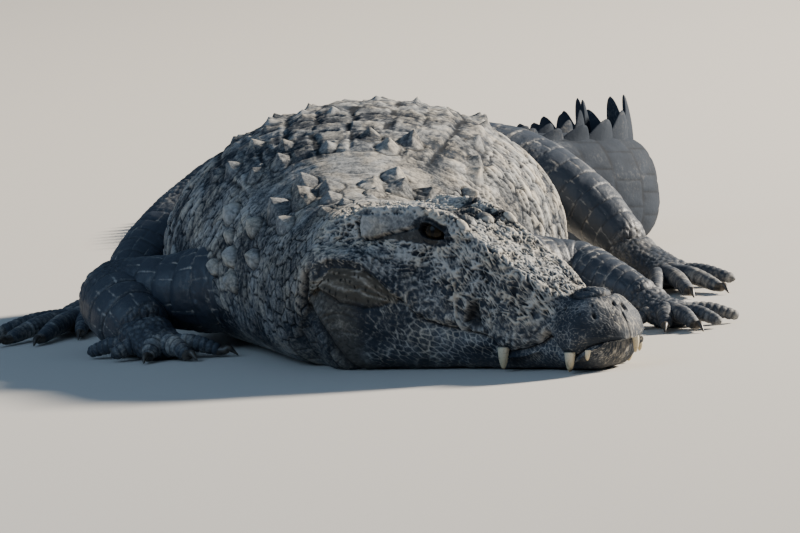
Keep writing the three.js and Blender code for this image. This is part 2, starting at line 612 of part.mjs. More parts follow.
// ---------- limbs ----------
// Joints [x, y, z] from inside the trunk to the wrist or ankle, radii there, and the tips of the digits.
const LIMBS = [
  {
    names: ['upper_arm_right', 'forearm_right', 'hand_right'],
    joints: [[480, -70, 116], [416, -245, 98], [342, -392, 90], [414, -376, 66], [488, -336, 38]],
    radii: [60, 57, 59, 58, 40],
    palm: [[524, -314, 22], 42],
    digits: [[548, -212], [580, -266], [572, -330], [534, -394], [462, -440]],
    digitRadius: 15,
  },
  {
    names: ['upper_arm_left', 'forearm_left', 'hand_left'],
    joints: [[470, 90, 110], [404, 240, 96], [326, 356, 90], [388, 426, 64], [448, 490, 37]],
    radii: [56, 54, 47, 41, 30],
    palm: [[488, 522, 20], 37],
    digits: [[514, 462], [562, 516], [580, 566], [552, 606], [482, 634]],
    digitRadius: 13,
  },
  {
    names: ['thigh_right', 'shank_right', 'foot_right'],
    joints: [[-430, -40, 160], [-396, -224, 184], [-310, -316, 156], [-190, -388, 104], [-74, -440, 46]],
    radii: [84, 74, 62, 52, 36],
    palm: [[0, -490, 24], 42],
    digits: [[150, -484], [206, -546], [190, -604], [104, -640]],
    digitRadius: 15,
  },
  {
    names: ['thigh_left', 'shank_left', 'foot_left'],
    joints: [[-440, 50, 165], [-400, 190, 201], [-346, 288, 178], [-284, 370, 122], [-220, 440, 54]],
    radii: [84, 74, 62, 52, 37],
    palm: [[-140, 490, 26], 42],
    digits: [[40, 484], [58, 540], [20, 590], [-96, 612]],
    digitRadius: 14,
  },
];
const CLAWED = 3;                 // digits with a claw, counted from the inner side
const CLAW_LENGTH = 30;
const vec = (p) => new THREE.Vector3(...p);

const trunkRoom = union([bodyLoft([...stations(660, NECK_END, 30).slice(0, -1), ...trunkStations(NECK_END, VENT + 40)],
  COLUMNS, 1.3 * GAP), ...studs(1)]);
const ROOM = 1.3 * GAP;           // how far a node's room reaches beyond it, where others are cut away
for (const limb of LIMBS) {
  const joints = limb.joints.map(vec);
  const palmAt = vec(limb.palm[0]);
  const wrist = joints.at(-1);
  const part = (from, to, steps, grow) => tube(joints, limb.radii, 12, steps,
    { span: [from / 4, to / 4], grow }).solid;
  const upper = part(0, 2, 7, 0).subtract(trunkRoom);
  const upperRoom = part(0, 2, 7, ROOM);
  const fore = part(2, 4, 7, 0).subtract(trunkRoom).subtract(upperRoom);
  const foreRoom = part(2, 4, 7, ROOM);
  const palm = tube([wrist.clone().lerp(palmAt, -0.3), palmAt, palmAt.clone().lerp(wrist, -0.5).setZ(16)],
    [limb.radii.at(-1), limb.palm[1], 0.6 * limb.palm[1]], 10, 4, { squash: 0.55 });
  const digits = limb.digits.map(([x, y], k) => {
    const tip = new THREE.Vector3(x, y, 11);
    const root = wrist.clone().lerp(palmAt, 0.8).setZ(22);
    const knuckle = root.clone().lerp(tip, 0.55).setZ(25);
    const r = limb.digitRadius * (k === 1 || k === 2 ? 1 : 0.88);
    const make = (grow) => tube([root, knuckle, tip], [r * 1.15, r, 0.62 * r], 6, 4, { grow });
    return { ...make(0), room: make(ROOM).solid, tip, r };
  });
  const hand = largest(union([palm.solid, ...digits.map((d) => d.solid)])
    .subtract(foreRoom).subtract(upperRoom).subtract(trunkRoom));
  [upper, fore, hand].forEach((m, i) => addNode(limb.names[i], m, limbSkin));
  digits.slice(0, CLAWED).forEach(({ curve, room, tip, r }, k) => {
    const ahead = curve.getTangent(1);
    const base = tip.clone().addScaledVector(ahead, -1);
    const bend = base.clone().addScaledVector(ahead, 0.55 * CLAW_LENGTH).setZ(10);
    const point = base.clone().addScaledVector(ahead, CLAW_LENGTH).setZ(3);
    const claw = tube([base, bend, point], [0.52 * r, 0.36 * r, 0.8], 6, 2).solid.subtract(room);
    addNode(`claw_${limb.names[2]}_${k + 1}`, claw, horn);
  });
}

group.name = 'crocodile';
export default group;
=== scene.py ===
"""A mugger crocodile (Crocodylus palustris) lying on its belly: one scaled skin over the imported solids,
with its eyes, teeth and claws as pieces of their own. Lengths are in millimetres until a mesh is made."""

import math
from types import SimpleNamespace

import bpy
import numpy as np
from mathutils import Matrix, Vector
from mathutils.kdtree import KDTree


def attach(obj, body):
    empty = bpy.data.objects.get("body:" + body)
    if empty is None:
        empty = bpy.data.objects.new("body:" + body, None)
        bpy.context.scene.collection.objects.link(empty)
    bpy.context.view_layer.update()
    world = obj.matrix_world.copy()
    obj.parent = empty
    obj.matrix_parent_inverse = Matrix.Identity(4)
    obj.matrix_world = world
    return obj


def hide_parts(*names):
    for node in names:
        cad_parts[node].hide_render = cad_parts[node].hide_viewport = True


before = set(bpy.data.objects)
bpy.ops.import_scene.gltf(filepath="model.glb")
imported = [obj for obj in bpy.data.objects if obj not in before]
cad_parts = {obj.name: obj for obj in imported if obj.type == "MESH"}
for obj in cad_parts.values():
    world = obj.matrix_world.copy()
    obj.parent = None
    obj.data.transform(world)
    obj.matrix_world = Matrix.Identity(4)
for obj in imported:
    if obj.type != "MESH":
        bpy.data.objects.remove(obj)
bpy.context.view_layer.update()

MM = 0.001
FAR = 1e9                         # a distance greater than any on the animal
# seam, mud and limb also carry painted shade and painted light in places
FIELDS = ("mud", "seam", "wet", "limb", "flesh")     # what the hide's material reads at each point

# ---------- camera: where the photographer stood, in degrees and metres ----------
CAMERA_AZIMUTH = 94.0
CAMERA_ELEVATION = 5.8
CAMERA_ROLL = 3.8
CAMERA_DISTANCE = 15.0
CAMERA_TARGET = Vector((0.10, 0.058, 0.086))
LENS = 401.3                      # mm
SENSOR_WIDTH = 36                 # mm


# ---------- tables: [station, value] read by a monotone cubic ----------
def table(points):
    """A function that reads these [station, value] pairs."""
    xs, ys = np.array(points, float).T
    slope = np.diff(ys) / np.diff(xs)
    before, after = slope[:-1], slope[1:]
    product = before * after
    total = np.where(before + after == 0, 1, before + after)
    inner = np.where(product <= 0, 0, 2 * product / total)
    tangent = np.concatenate([slope[:1], inner, slope[-1:]])

    def read(x):
        x = np.clip(x, xs[0], xs[-1])
        i = np.clip(np.searchsorted(xs, x, side="right") - 1, 0, len(xs) - 2)
        h = xs[i + 1] - xs[i]
        t = (x - xs[i]) / h
        return (
            ys[i] * (2 * t**3 - 3 * t**2 + 1)
            + h * tangent[i] * (t**3 - 2 * t**2 + t)
            + ys[i + 1] * (3 * t**2 - 2 * t**3)
            + h * tangent[i + 1] * (t**3 - t**2)
        )

    return read


def smooth(x, a, b):
    """0 up to a, 1 from b on, and a soft step between them."""
    t = np.clip((x - a) / (b - a), 0, 1)
    return t * t * (3 - 2 * t)


def band(x, a, b, soft):
    """1 between a and b, and 0 outside, with soft edges."""
    return smooth(x, a - soft, a) * (1 - smooth(x, b, b + soft))


def dome(distance, radius):
    """1 at the centre and 0 from the radius outwards, round on top."""
    return np.clip(1 - (distance / radius) ** 2, 0, 1) ** 2


def crack(distance, near, far):
    """1 up to the near distance, and 0 from the far one."""
    return 1 - smooth(distance, near, far)


def bell(x, centre, width):
    """1 at the centre, and next to nothing two widths from it."""
    return np.exp(-(((x - centre) / width) ** 2))


def lay(old, weight, fade, new):
    """Adds a new value by a weight, and takes that share of the old one away, times fade."""
    return old * (1 - fade * weight) + new * weight


def unit(v):
    return v / np.maximum(np.linalg.norm(v, axis=-1, keepdims=True), 1e-9)


def spline(a, b, c, d, f):
    """A Catmull-Rom curve from b to c, at the share f."""
    return 0.5 * (2 * b + (c - a) * f + (2 * a - 5 * b + 4 * c - d) * f**2 + (3 * b - a - 3 * c + d) * f**3)


# ---------- the spine and the sections, as in the solids ----------
TOTAL_LENGTH = 3750
HEAD_LENGTH = 545
TRUNK_MIDDLE = 1270
VENT = 1850
SPINE_STEP = 5
NECK_END = 860                    # from here on each section stands square to the spine

heading = table([
    [0, 50.5], [505, 50.5], [556, 36], [600, 18], [640, 8], [700, 6], [760, 5], [860, 3], [1000, 1],
    [1270, 0], [1450, -3], [1600, -6], [1730, -12], [1850, -28], [1950, -43], [2050, -50],
    [2140, -50], [2215, -40], [2285, -20], [2355, 12], [2430, 42], [2520, 58], [2650, 64],
    [2900, 54], [3300, 30], [3750, 4],
])
neck_turn = table([[0, 50.5], [545, 50.5], [600, 43], [660, 30], [720, 17], [780, 8.5], [860, 3]])

_stations = np.arange(0, TOTAL_LENGTH + 1, SPINE_STEP)
_turns = np.radians(heading(_stations[1:] - SPINE_STEP / 2))
spine = np.zeros((len(_stations), 2))
spine[1:] = -SPINE_STEP * np.cumsum(np.stack([np.cos(_turns), np.sin(_turns)], 1), 0)
spine -= spine[TRUNK_MIDDLE // SPINE_STEP]


def section_turn(s):
    return np.radians(np.where(s < NECK_END, neck_turn(s), heading(s)))


def place(s, y, z):
    """Row-frame points, in millimetres, of stations, distances to the left and heights."""
    s, y, z = np.broadcast_arrays(np.asarray(s, float), y, z)
    turn = section_turn(s)
    i = np.clip((s // SPINE_STEP).astype(int), 0, len(spine) - 2)
    t = (s / SPINE_STEP - i)[..., None]
    p = spine[i] * (1 - t) + spine[i + 1] * t
    return np.stack([p[..., 0] - np.sin(turn) * y, p[..., 1] + np.cos(turn) * y, z], -1)


half_width = table([
    [540, 170], [600, 172], [660, 180], [720, 194], [800, 226], [900, 270], [1050, 320],
    [1200, 336], [1350, 314], [1500, 272], [1650, 226], [1730, 198], [1850, 160], [1950, 130],
    [2100, 105], [2300, 88], [2500, 74], [2900, 50], [3300, 28], [3650, 13], [3750, 6],
])
top_height = table([
    [540, 255], [600, 258], [660, 264], [720, 274], [800, 294], [900, 321], [1050, 345],
    [1200, 355], [1350, 351], [1500, 331], [1650, 301], [1730, 282], [1850, 259], [1950, 241],
    [2100, 222], [2250, 205], [2450, 180], [2800, 142], [3200, 100], [3600, 50], [3750, 24],
])
widest_at = table([[560, 0.36], [900, 0.36], [1300, 0.34], [1800, 0.42], [2100, 0.4], [3750, 0.42]])
upper_power = table([[560, 2.1], [900, 2.0], [1300, 2.05], [1800, 2.1], [2050, 2.5], [3750, 2.3]])
lower_power = table([[560, 2.6], [1300, 2.8], [1800, 2.5], [2200, 2.2], [3750, 2.1]])
BELLY_SINK = 0.05


def body_section(s, t):
    height = top_height(s)
    centre = widest_at(s) * height
    angle = np.pi / 2 - np.pi * t
    power = np.where(angle > 0, upper_power(s), lower_power(s))
    reach = np.where(angle > 0, height - centre, centre + BELLY_SINK * height)
    y = half_width(s) * np.abs(np.cos(angle)) ** (2 / power)
    z = centre + np.sign(angle) * reach * np.abs(np.sin(angle)) ** (2 / power)
    return y, z


lip_half = table([
    [0, 62], [45, 75], [85, 71], [120, 57], [155, 76], [188, 84], [240, 86], [300, 99],
    [360, 117], [420, 138], [480, 155], [530, 165], [560, 168],
])
lip_height = table([
    [0, 50], [30, 44], [61, 29], [84, 31], [104, 42], [122, 55], [140, 45], [160, 38], [192, 35],
    [207, 37], [228, 54], [289, 68], [340, 80], [380, 113], [447, 164], [490, 168], [530, 156],
    [560, 148],
])
top_line = table([
    [0, 100], [30, 116], [70, 124], [105, 121], [135, 134], [161, 149], [197, 168], [233, 187],
    [262, 202], [296, 222], [326, 234], [364, 240], [420, 244], [480, 248], [560, 252],
])
edge_half = table([
    [0, 30], [50, 38], [105, 36], [140, 47], [180, 57], [233, 61], [290, 63], [335, 62],
    [364, 66], [400, 70], [440, 82], [480, 92], [520, 98], [560, 102],
])
edge_height = table([
    [0, 92], [50, 112], [105, 112], [135, 126], [161, 144], [197, 165], [233, 187], [262, 205],
    [296, 228], [326, 243], [365, 250], [430, 250], [478, 250], [510, 242], [560, 242],
])
side_half = table([
    [0, 50], [50, 66], [120, 50], [200, 73], [250, 78], [290, 81], [350, 83], [400, 92],
    [480, 112], [530, 136], [560, 148],
])
side_height = table([
    [0, 82], [50, 88], [120, 90], [160, 108], [200, 126], [250, 148], [290, 162], [350, 184],
    [400, 200], [480, 208], [530, 208], [560, 206],
])
cheek_half = table([
    [0, 60], [45, 75], [85, 70], [120, 56], [160, 80], [188, 86], [240, 87], [300, 98],
    [360, 116], [420, 138], [480, 156], [530, 168], [560, 172],
])
cheek_height = table([
    [0, 64], [50, 64], [120, 76], [188, 68], [240, 80], [300, 98], [350, 118],
    [400, 152], [447, 184], [500, 188], [560, 182],
])
jaw_half = table([
    [0, 46], [50, 60], [120, 58], [200, 70], [290, 90], [350, 110], [420, 138],
    [480, 160], [530, 174], [560, 178],
])
jaw_height = table([[0, 26], [120, 27], [200, 30], [300, 38], [420, 64], [500, 86], [560, 90]])
chin_half = table([
    [0, 28], [50, 40], [120, 42], [200, 52], [300, 68], [420, 102], [500, 128], [560, 140],
])
LIP_ROUND = 12
mouth_depth = table([[0, 10], [300, 12], [440, 20], [520, 12], [548, 0]])
SNOUT_ROUND = 58
JAW_SETBACK = 16
NOSE_POWER = 2.2
MOUTH_AT = 0.6                    # share round the half section of the line of the mouth
LAST_CONTROL = 10
JAW_CONTROLS_FROM = 7
HEAD_INTO_BODY = (495, 610)       # between these stations the head's section turns into the body's


def nose_factor(a):
    """The share of its size that a section has where the snout's end is rounded off."""
    t = np.clip(a / SNOUT_ROUND, 0, 1)
    return (1 - (1 - t) ** NOSE_POWER) ** (1 / NOSE_POWER)


def head_controls(a):
    """Half breadths and heights of the eleven points of a head section, crown to throat."""
    lip = lip_height(a)
    crown = top_line(a)
    edge = edge_height(a)
    half = lip_half(a)
    depth = mouth_depth(a)
    nothing = np.zeros_like(lip)
    ys = [nothing, edge_half(a) * 0.55, edge_half(a), side_half(a), cheek_half(a), half,
          half - depth, half - 0.35 * depth, jaw_half(a), chin_half(a), nothing]
    zs = [crown, crown + 0.35 * (edge - crown), edge, side_height(a), cheek_height(a),
          lip + LIP_ROUND, lip, lip - LIP_ROUND, jaw_height(a), nothing + 5, nothing]
    upper = nose_factor(a)[:, None]
    lower = nose_factor(a - JAW_SETBACK)[:, None]
    factor = np.where(np.arange(LAST_CONTROL + 1) < JAW_CONTROLS_FROM, upper, lower)
    lip = lip[:, None]
    return np.stack(ys, 1) * upper, lip + (np.stack(zs, 1) - lip) * factor


def head_section(a, t):
    """a is one station per row and t a share for each point of it."""
    x = t * LAST_CONTROL
    i = np.clip(np.floor(x), 0, LAST_CONTROL - 1).astype(int)
    made = []
    for values, mirror in zip(head_controls(a), (-1, 1)):
        padded = np.concatenate([mirror * values[:, 1:2], values, mirror * values[:, -2:-1]], 1)
        made.append(spline(*(np.take_along_axis(padded, i + k, 1) for k in range(4)), x - i))
    return made


def section(s, t):
    """Half breadth and height at one station per row and a share for each point of it."""
    share = smooth(s, *HEAD_INTO_BODY)[:, None]
    head = head_section(np.minimum(s, HEAD_LENGTH), t)
    body = body_section(s[:, None], t)
    y, z = (a + (b - a) * share for a, b in zip(head, body))
    return y, np.maximum(z, 0)


# ---------- repeatable noise ----------
def scatter(*whole, seed=0):
    """A repeatable number from 0 to 1 for each set of whole numbers."""
    h = np.full(np.broadcast(*whole).shape, 2166136261 + seed * 7919, np.uint32)
    for w in whole:
        h = (h ^ np.asarray(w).astype(np.int64).astype(np.uint32)) * np.uint32(16777619)
        h ^= h >> np.uint32(15)
        h *= np.uint32(2246822519)
        h ^= h >> np.uint32(13)
    return h / 4294967295.0


def noise(p, size, octaves, seed):
    """Fractal noise, about -1 to 1, at points p, with lumps of about the given size."""
    total = np.zeros(p.shape[:-1])
    amount, norm = 1.0, 0.0
    for k in range(octaves):
        q = p * (2.0**k / size) + 17.3 * k
        base = np.floor(q).astype(np.int64)
        f = q - base
        f = f * f * (3 - 2 * f)
        value = 0
        for corner in range(8):
            bits = [(corner >> b) & 1 for b in range(3)]
            weight = 1
            for axis in range(3):
                weight = weight * (f[..., axis] if bits[axis] else 1 - f[..., axis])
            value = value + weight * scatter(*(base[..., a] + bits[a] for a in range(3)), seed=seed + k)
        total += amount * (2 * value - 1)
        norm += amount
        amount *= 0.5
    return total / norm


def strands(along, over, seed, sharp):
    """Crests, 0 to 1, in long wavering lines that run along the first of two coordinates."""
    n = noise(np.stack([along, over, 0 * along], -1), 1, 2, seed)
    return np.clip(1 - sharp * np.abs(n), 0, 1)


def uneven(p, size, seed, octaves=2):
    """Noise fixed to the straightened body."""
    return noise(points_of(p), size, octaves, seed)


def streaks(p, along, long, wide, seed):
    """Noise with lumps of one size along the body and another across it."""
    return noise(np.stack([along / long, p.y / wide, p.z / wide], -1), 1, 2, seed)


# ---------- patterns of scales ----------
def cells(u, v, long, wide, loose, seed):
    """Rounded scales in staggered rows. Gives the distance to the nearest seam and a number from 0
    to 1 for each scale."""
    x, y = u / long, v / wide
    stretch = long / wide
    row = np.floor(y).astype(np.int64)
    nearest, second = np.full((2, *x.shape), FAR)
    first_u, first_v, second_u, second_v, n = np.zeros((5, *x.shape))
    for j in (row - 1, row, row + 1):
        shift = 0.5 * (j % 2)
        column = np.floor(x - shift).astype(np.int64)
        for i in (column - 1, column, column + 1):
            cu = (i + 0.5 + shift + loose * (scatter(i, j, seed=seed) - 0.5)) * long
            cv = (j + 0.5 + loose * (scatter(i, j, seed=seed + 1) - 0.5)) * wide
            d = ((u - cu) / stretch) ** 2 + (v - cv) ** 2
            closer = d < nearest
            beaten = d < second
            second = np.where(closer, nearest, np.where(beaten, d, second))
            second_u = np.where(closer, first_u, np.where(beaten, cu, second_u))
            second_v = np.where(closer, first_v, np.where(beaten, cv, second_v))
            nearest = np.where(closer, d, nearest)
            first_u = np.where(closer, cu, first_u)
            first_v = np.where(closer, cv, first_v)
            n = np.where(closer, scatter(i, j, seed=seed + 2), n)
    apart = np.hypot((second_u - first_u) / stretch, second_v - first_v)
    return SimpleNamespace(edge=(second - nearest) / (2 * np.maximum(apart, 1e-3)), n=n)


def bricks(u, v, long, wide, loose, seed):
    """Oblong scales in straight rows that run across u. Gives the distances to the seams at their
    sides and ends, the share along the scale, and a number from 0 to 1 for each scale."""
    x = u / long
    row = np.floor(x).astype(np.int64)
    y = v / wide + 0.5 * (row % 2)
    column = np.floor(y).astype(np.int64)
    fx, fy = x - row, y - column
    low, high = (loose * (scatter(row, column + k, seed=seed) - 0.5) for k in (0, 1))
    column = np.where(fy < low, column - 1, np.where(fy > 1 + high, column + 1, column))
    side = np.minimum(np.abs(fy - low), np.abs(1 + high - fy)) * wide
    end = np.minimum(fx, 1 - fx) * long
    n = scatter(row, column, seed=seed + 5)
    return SimpleNamespace(edge=np.minimum(side, end), side=side, end=end, share=fx, n=n)


# ---------- the skin of the body: a grid of stations by points round the section ----------
UPPER_POINTS = 161                # from the midline of the back down to the line of the mouth
LOWER_POINTS = 121                # from there to the midline of the belly
SHARES = 200                      # samples used to space the points evenly
TIP_RINGS = 44                    # rings on the rounded end of the snout
BODY_STEPS = [                    # [from station, to station, length of a step]
    [SNOUT_ROUND, 500, 1.35], [500, 620, 1.8], [620, 900, 2.3], [900, VENT, 3.4],
]


def body_stations():
    tip = SNOUT_ROUND * np.linspace(0.05, 1, TIP_RINGS) ** 2.2
    runs = [np.arange(a, b, step)[1:] for a, b, step in BODY_STEPS]
    return np.concatenate([tip, *runs, [VENT]])


def even_shares(s, low, high, count):
    """Shares from low to high, evenly spaced along each section, and their distances along it."""
    dense = np.tile(np.linspace(low, high, SHARES), (len(s), 1))
    y, z = section(s, dense)
    steps = np.hypot(np.diff(y, axis=1), np.diff(z, axis=1)) + 1e-6
    along = np.concatenate([np.zeros((len(s), 1)), np.cumsum(steps, 1)], 1)
    wanted = np.linspace(0, 1, count) * along[:, -1:]
    shares = np.stack([np.interp(w, a, d) for w, a, d in zip(wanted, along, dense)])
    return shares, wanted


def body_grid(s, upper, lower):
    """The patch of skin at these stations, as rings from the back's midline down the right side."""
    t_up, q_up = even_shares(s, 0, MOUTH_AT, upper)
    t_low, q_low = even_shares(s, MOUTH_AT, 1, lower)
    t = np.concatenate([t_up, t_low[:, 1:]], 1)
    q = np.concatenate([q_up, q_up[:, -1:] + q_low[:, 1:]], 1)
    y, z = section(s, t)
    half = t.shape[1]
    order = np.concatenate([np.arange(half), np.arange(half - 2, 0, -1)])
    side = np.concatenate([-np.ones(half), np.ones(half - 2)])
    breadth = np.where(np.isin(np.arange(len(order)), (0, half - 1)), 0, side)
    patch = SimpleNamespace(
        s=np.repeat(s[:, None], len(order), 1),
        t=t[:, order],
        q=q[:, order],
        side=np.tile(side, (len(s), 1)),
        y=y[:, order] * breadth,
        z=z[:, order],
    )
    patch.w = patch.q * patch.side
    patch.at = place(patch.s, patch.y, patch.z)
    return patch


def outward(at):
    """Unit normals of a grid of closed rings, which point away from the middles of the rings."""
    along = np.gradient(at, axis=0)
    normal = unit(np.cross(along, np.roll(at, -1, 1) - np.roll(at, 1, 1)))
    turned = ((at - at.mean(1, keepdims=True)) * normal).sum(-1).mean() < 0
    return -normal if turned else normal


def start(patch):
    """Gives a patch its normals and its empty fields: rise, and the shares that the material reads."""
    patch.normal = outward(patch.at)
    for name in ("rise", *FIELDS):
        setattr(patch, name, np.zeros(patch.s.shape))
    return patch


def layer(patch, weight, pattern):
    """Adds a pattern's fields to a patch where the weight isn't nothing."""
    on = weight > 0.002
    if not on.any():
        return
    arrays = {k: v for k, v in vars(patch).items() if isinstance(v, np.ndarray) and v.shape[:2] == on.shape}
    made = pattern(SimpleNamespace(**{k: v[on] for k, v in arrays.items()}))
    for name, value in made.items():
        arrays[name][on] += weight[on] * value


def across(patch, s0, t0):
    """Distance round the section of the place at a station and a share."""
    row = int(np.argmin(np.abs(patch.s[:, 0] - s0)))
    half = patch.t.shape[1] // 2 + 1
    return float(np.interp(t0, patch.t[row, :half], patch.q[row, :half]))


def near_line(patch, points, margin):
    """The points of a patch near a line of [station, share] places: which they are, how far off the
    line they lie and at what share of it."""
    line = np.array([[s, across(patch, s, t)] for s, t in points])
    near = (patch.s > line[:, 0].min() - margin) & (patch.s < line[:, 0].max() + margin)
    p = np.stack([patch.s[near], patch.q[near]], 1)
    off = np.full(len(p), FAR)
    share = np.zeros(len(p))
    for k, (a, b) in enumerate(zip(line, line[1:])):
        f = np.clip(((p - a) @ (b - a)) / ((b - a) @ (b - a)), 0, 1)
        d = np.linalg.norm(p - a - f[:, None] * (b - a), axis=1)
        share = np.where(d < off, (k + f) / (len(line) - 1), share)
        off = np.minimum(off, d)
    return near, off, share


def groove(patch, points, depth, width, dark, lip=0.0):
    """Presses a fold into the skin along a line of [station, share] places. dark paints shade into the fold's
    line, and lip raises its edges.
    """
    near, off, share = near_line(patch, points, 4 * width)
    taper = np.sqrt(np.clip(4 * share * (1 - share), 0, 1))
    patch.rise[near] += taper * (lip * bell(off, 1.9 * width, 0.9 * width) - depth * bell(off, 0, width))
    patch.seam[near] = np.maximum(patch.seam[near], dark * bell(off, 0, 0.7 * width) * taper)


def ridge(patch, points, height, width, mud):
    """Raises a soft ridge along a line of [station, share] places, and cakes it with mud."""
    near, off, _ = near_line(patch, points, 3 * width)
    on = bell(off, 0, width)
    patch.rise[near] += height * on
    patch.mud[near] += mud * on
    patch.seam[near] *= 1 - on


def knob(patch, s0, t0, side, long, wide, height, keel=0.9, lean=0.2, mud=0.22, moat=1.6):
    """One keeled scale or plate that stands up from the skin, with a seam round its foot."""
    along = patch.s - s0
    over = patch.q - across(patch, s0, t0)
    near = (np.abs(along) < 0.9 * long) & (np.abs(over) < 0.9 * wide) & (patch.side == side)
    rough = noise(points_of(patch)[near], 9, 2, seed=171)
    u = along[near] / long + 0.03 * rough
    v = over[near] / wide + 0.05 * rough
    r = 2 * np.hypot(u, v)
    climb = np.clip((u + 0.5) / (0.5 + lean), 0, 1) ** 1.1 * crack(u, lean, 0.48)
    tent = np.clip(1 - 2 * np.abs(v), 0, 1) ** 1.2
    shape = (1 - keel) * np.clip(1 - r**2, 0, 1) ** 0.8 + keel * tent * climb
    rim = bell(r, 1.04, 0.10)
    body = smooth(1 - r, 0, 0.12)
    patch.rise[near] = lay(patch.rise[near], body, 0.6, 0.9 * rough) + height * shape - moat * rim
    patch.mud[near] = lay(patch.mud[near], body, 0.5, mud + 0.14 * shape + 0.12 * rough)
    patch.seam[near] = np.maximum(patch.seam[near] * (1 - 0.7 * body), 0.85 * rim)


# ---------- what each region's skin is like ----------
def points_of(p):
    """Places for noise, in the straightened body: along, to the left and up."""
    return np.stack([p.s, p.y, p.z], -1)


def bony(p):
    """The snout's hide: pale crinkled crests in lines that cross slantwise, over small dark hollows."""
    bend = 6 * uneven(p, 26, 4)
    crest = 0
    for slant, seed in ((-0.35, 8), (0.30, 13)):
        line = strands((p.s + slant * p.w) / 20, (p.w - slant * p.s + bend) / 7.5, seed, 4.2)
        crest = np.maximum(crest, line)
    crest = smooth(crest, 0.1, 0.9) * (0.25 + 0.75 * smooth(uneven(p, 12, 7), -0.55, 0.15))
    net = cells(p.s + bend, p.w + 0.6 * bend, 10, 7.5, 0.95, seed=11)
    rims = crack(net.edge, 0.2, 2.0) * smooth(uneven(p, 9, 12), -0.4, 0.4)
    crest = np.maximum(crest, 0.75 * rims)
    small = uneven(p, 5, 5)
    lump = uneven(p, 30, 3)
    pit = smooth(uneven(p, 13, 9), 0.0, 0.5) * (1 - crest)
    # Paler on the top of the snout: partly caked mud, partly painted light from above.
    caked = 0.14 + 0.14 * crack(p.t, 0.15, 0.4)
    return {
        "rise": 3.3 * crest - 2.2 * pit + 1.2 * small + 2.4 * lump,
        "mud": caked + 0.72 * crest - 0.12 * pit + 0.24 * small + 0.10 * lump,
        "seam": 0.7 * pit,
    }


def nose(p):
    """The nose's hide: tight, finely cracked skin over soft bulges."""
    net = cells(p.s + 2 * uneven(p, 15, 4), p.w, 8.5, 7.5, 0.9, seed=21)
    seam = crack(net.edge, 0.1, 1.0)
    lump = uneven(p, 26, 22)
    grain = uneven(p, 5, 23)
    return {
        "rise": 1.6 * lump - 0.45 * seam + 0.3 * grain,
        "mud": 0.10 + 0.34 * seam + 0.3 * lump + 0.12 * grain,
        "wet": 0.5,
    }


def cheek(p):
    """The cheek: lumpy dark skin in slanting folds, with thin pale lines of mud between its scales."""
    bend = 5 * uneven(p, 22, 4)
    net = cells(p.s + bend, p.w + bend, 10, 8, 0.95, seed=31)
    seam = crack(net.edge, 0.1, 1.6)
    fold = strands((p.w - 0.5 * p.s) / 30, (p.s + 0.5 * p.w + bend) / 9, 34, 3.4)
    lump = uneven(p, 18, 32)
    fine = uneven(p, 5, 33)
    return {
        "rise": 3.2 * lump + 1.4 * fine + 0.9 * seam + 1.6 * fold,
        "mud": 0.13 + 0.36 * seam * smooth(fine, -0.5, 0.2) + 0.28 * fold + 0.12 * lump + 0.26 * fine,
        "seam": 0.4 * smooth(-fine, 0.1, 0.5) * (1 - fold),
        "wet": 0.5,
    }


def jaw(p):
    """The lower jaw's side: small flat many-sided scales, pale in their seams, and bare skin behind."""
    grow = 1 + 0.0010 * (p.s - 200)
    net = cells((p.s + 3 * uneven(p, 40, 4)) / grow, p.w / grow, 9.5, 8.5, 0.8, seed=41)
    seam = crack(net.edge, 0.2, 1.1)
    lump = uneven(p, 26, 42)
    # Darker near the floor, as painted shade, and a browner tone there, as mud.
    low = crack(p.z, 4, 30)
    bare = smooth(p.s, 430, 475)
    pale = seam * (0.3 + 0.7 * smooth(uneven(p, 45, 43), -0.6, 0.1)) * (1 - 0.8 * bare)
    return {
        "rise": 1.8 * lump - 0.6 * seam + 0.5 * (net.n - 0.5),
        "mud": 0.22 + 0.42 * pale + 0.24 * lump - 0.12 * low + 0.16 * uneven(p, 6, 44),
        "seam": 0.6 * seam * bare,
        "wet": 0.45,
        "flesh": 0.2 * low + 0.5 * bare,
    }


def jowl(p):
    """The fleshy corner of the mouth: bare skin with fine lengthwise folds and rows of dark dots."""
    top, low = JOWL_TOP(p.s), JOWL_LOW(p.s)
    level = np.clip((p.t - top) / np.maximum(low - top, 0.01), 0, 1)
    waved = level + 0.05 * uneven(p, 30, 4)
    fold = strands(p.s / 60, waved * 9, 46, 3.0)
    up = 6 * waved
    row = np.floor(up)
    along = p.s / 9 + 0.37 * row
    spot = np.floor(along)
    off_along = 9 * (along - spot - 0.3 - 0.4 * scatter(spot, row, seed=49))
    off_up = 9 * (up - row - 0.3 - 0.4 * scatter(spot, row, seed=50))
    dots = crack(np.hypot(off_along, off_up), 1.0, 2.3) * (scatter(spot, row, seed=48) > 0.25)
    lump = uneven(p, 16, 47)
    return {
        "rise": 1.4 * fold - 0.6 * dots + lump,
        "mud": 0.20 + 0.34 * fold + 0.20 * lump + 0.22 * crack(level, 0.1, 0.45) - 0.3 * dots,
        "seam": np.maximum(0.55 * (1 - fold) * smooth(level, 0.0, 0.4), dots),
        "flesh": 1,
    }


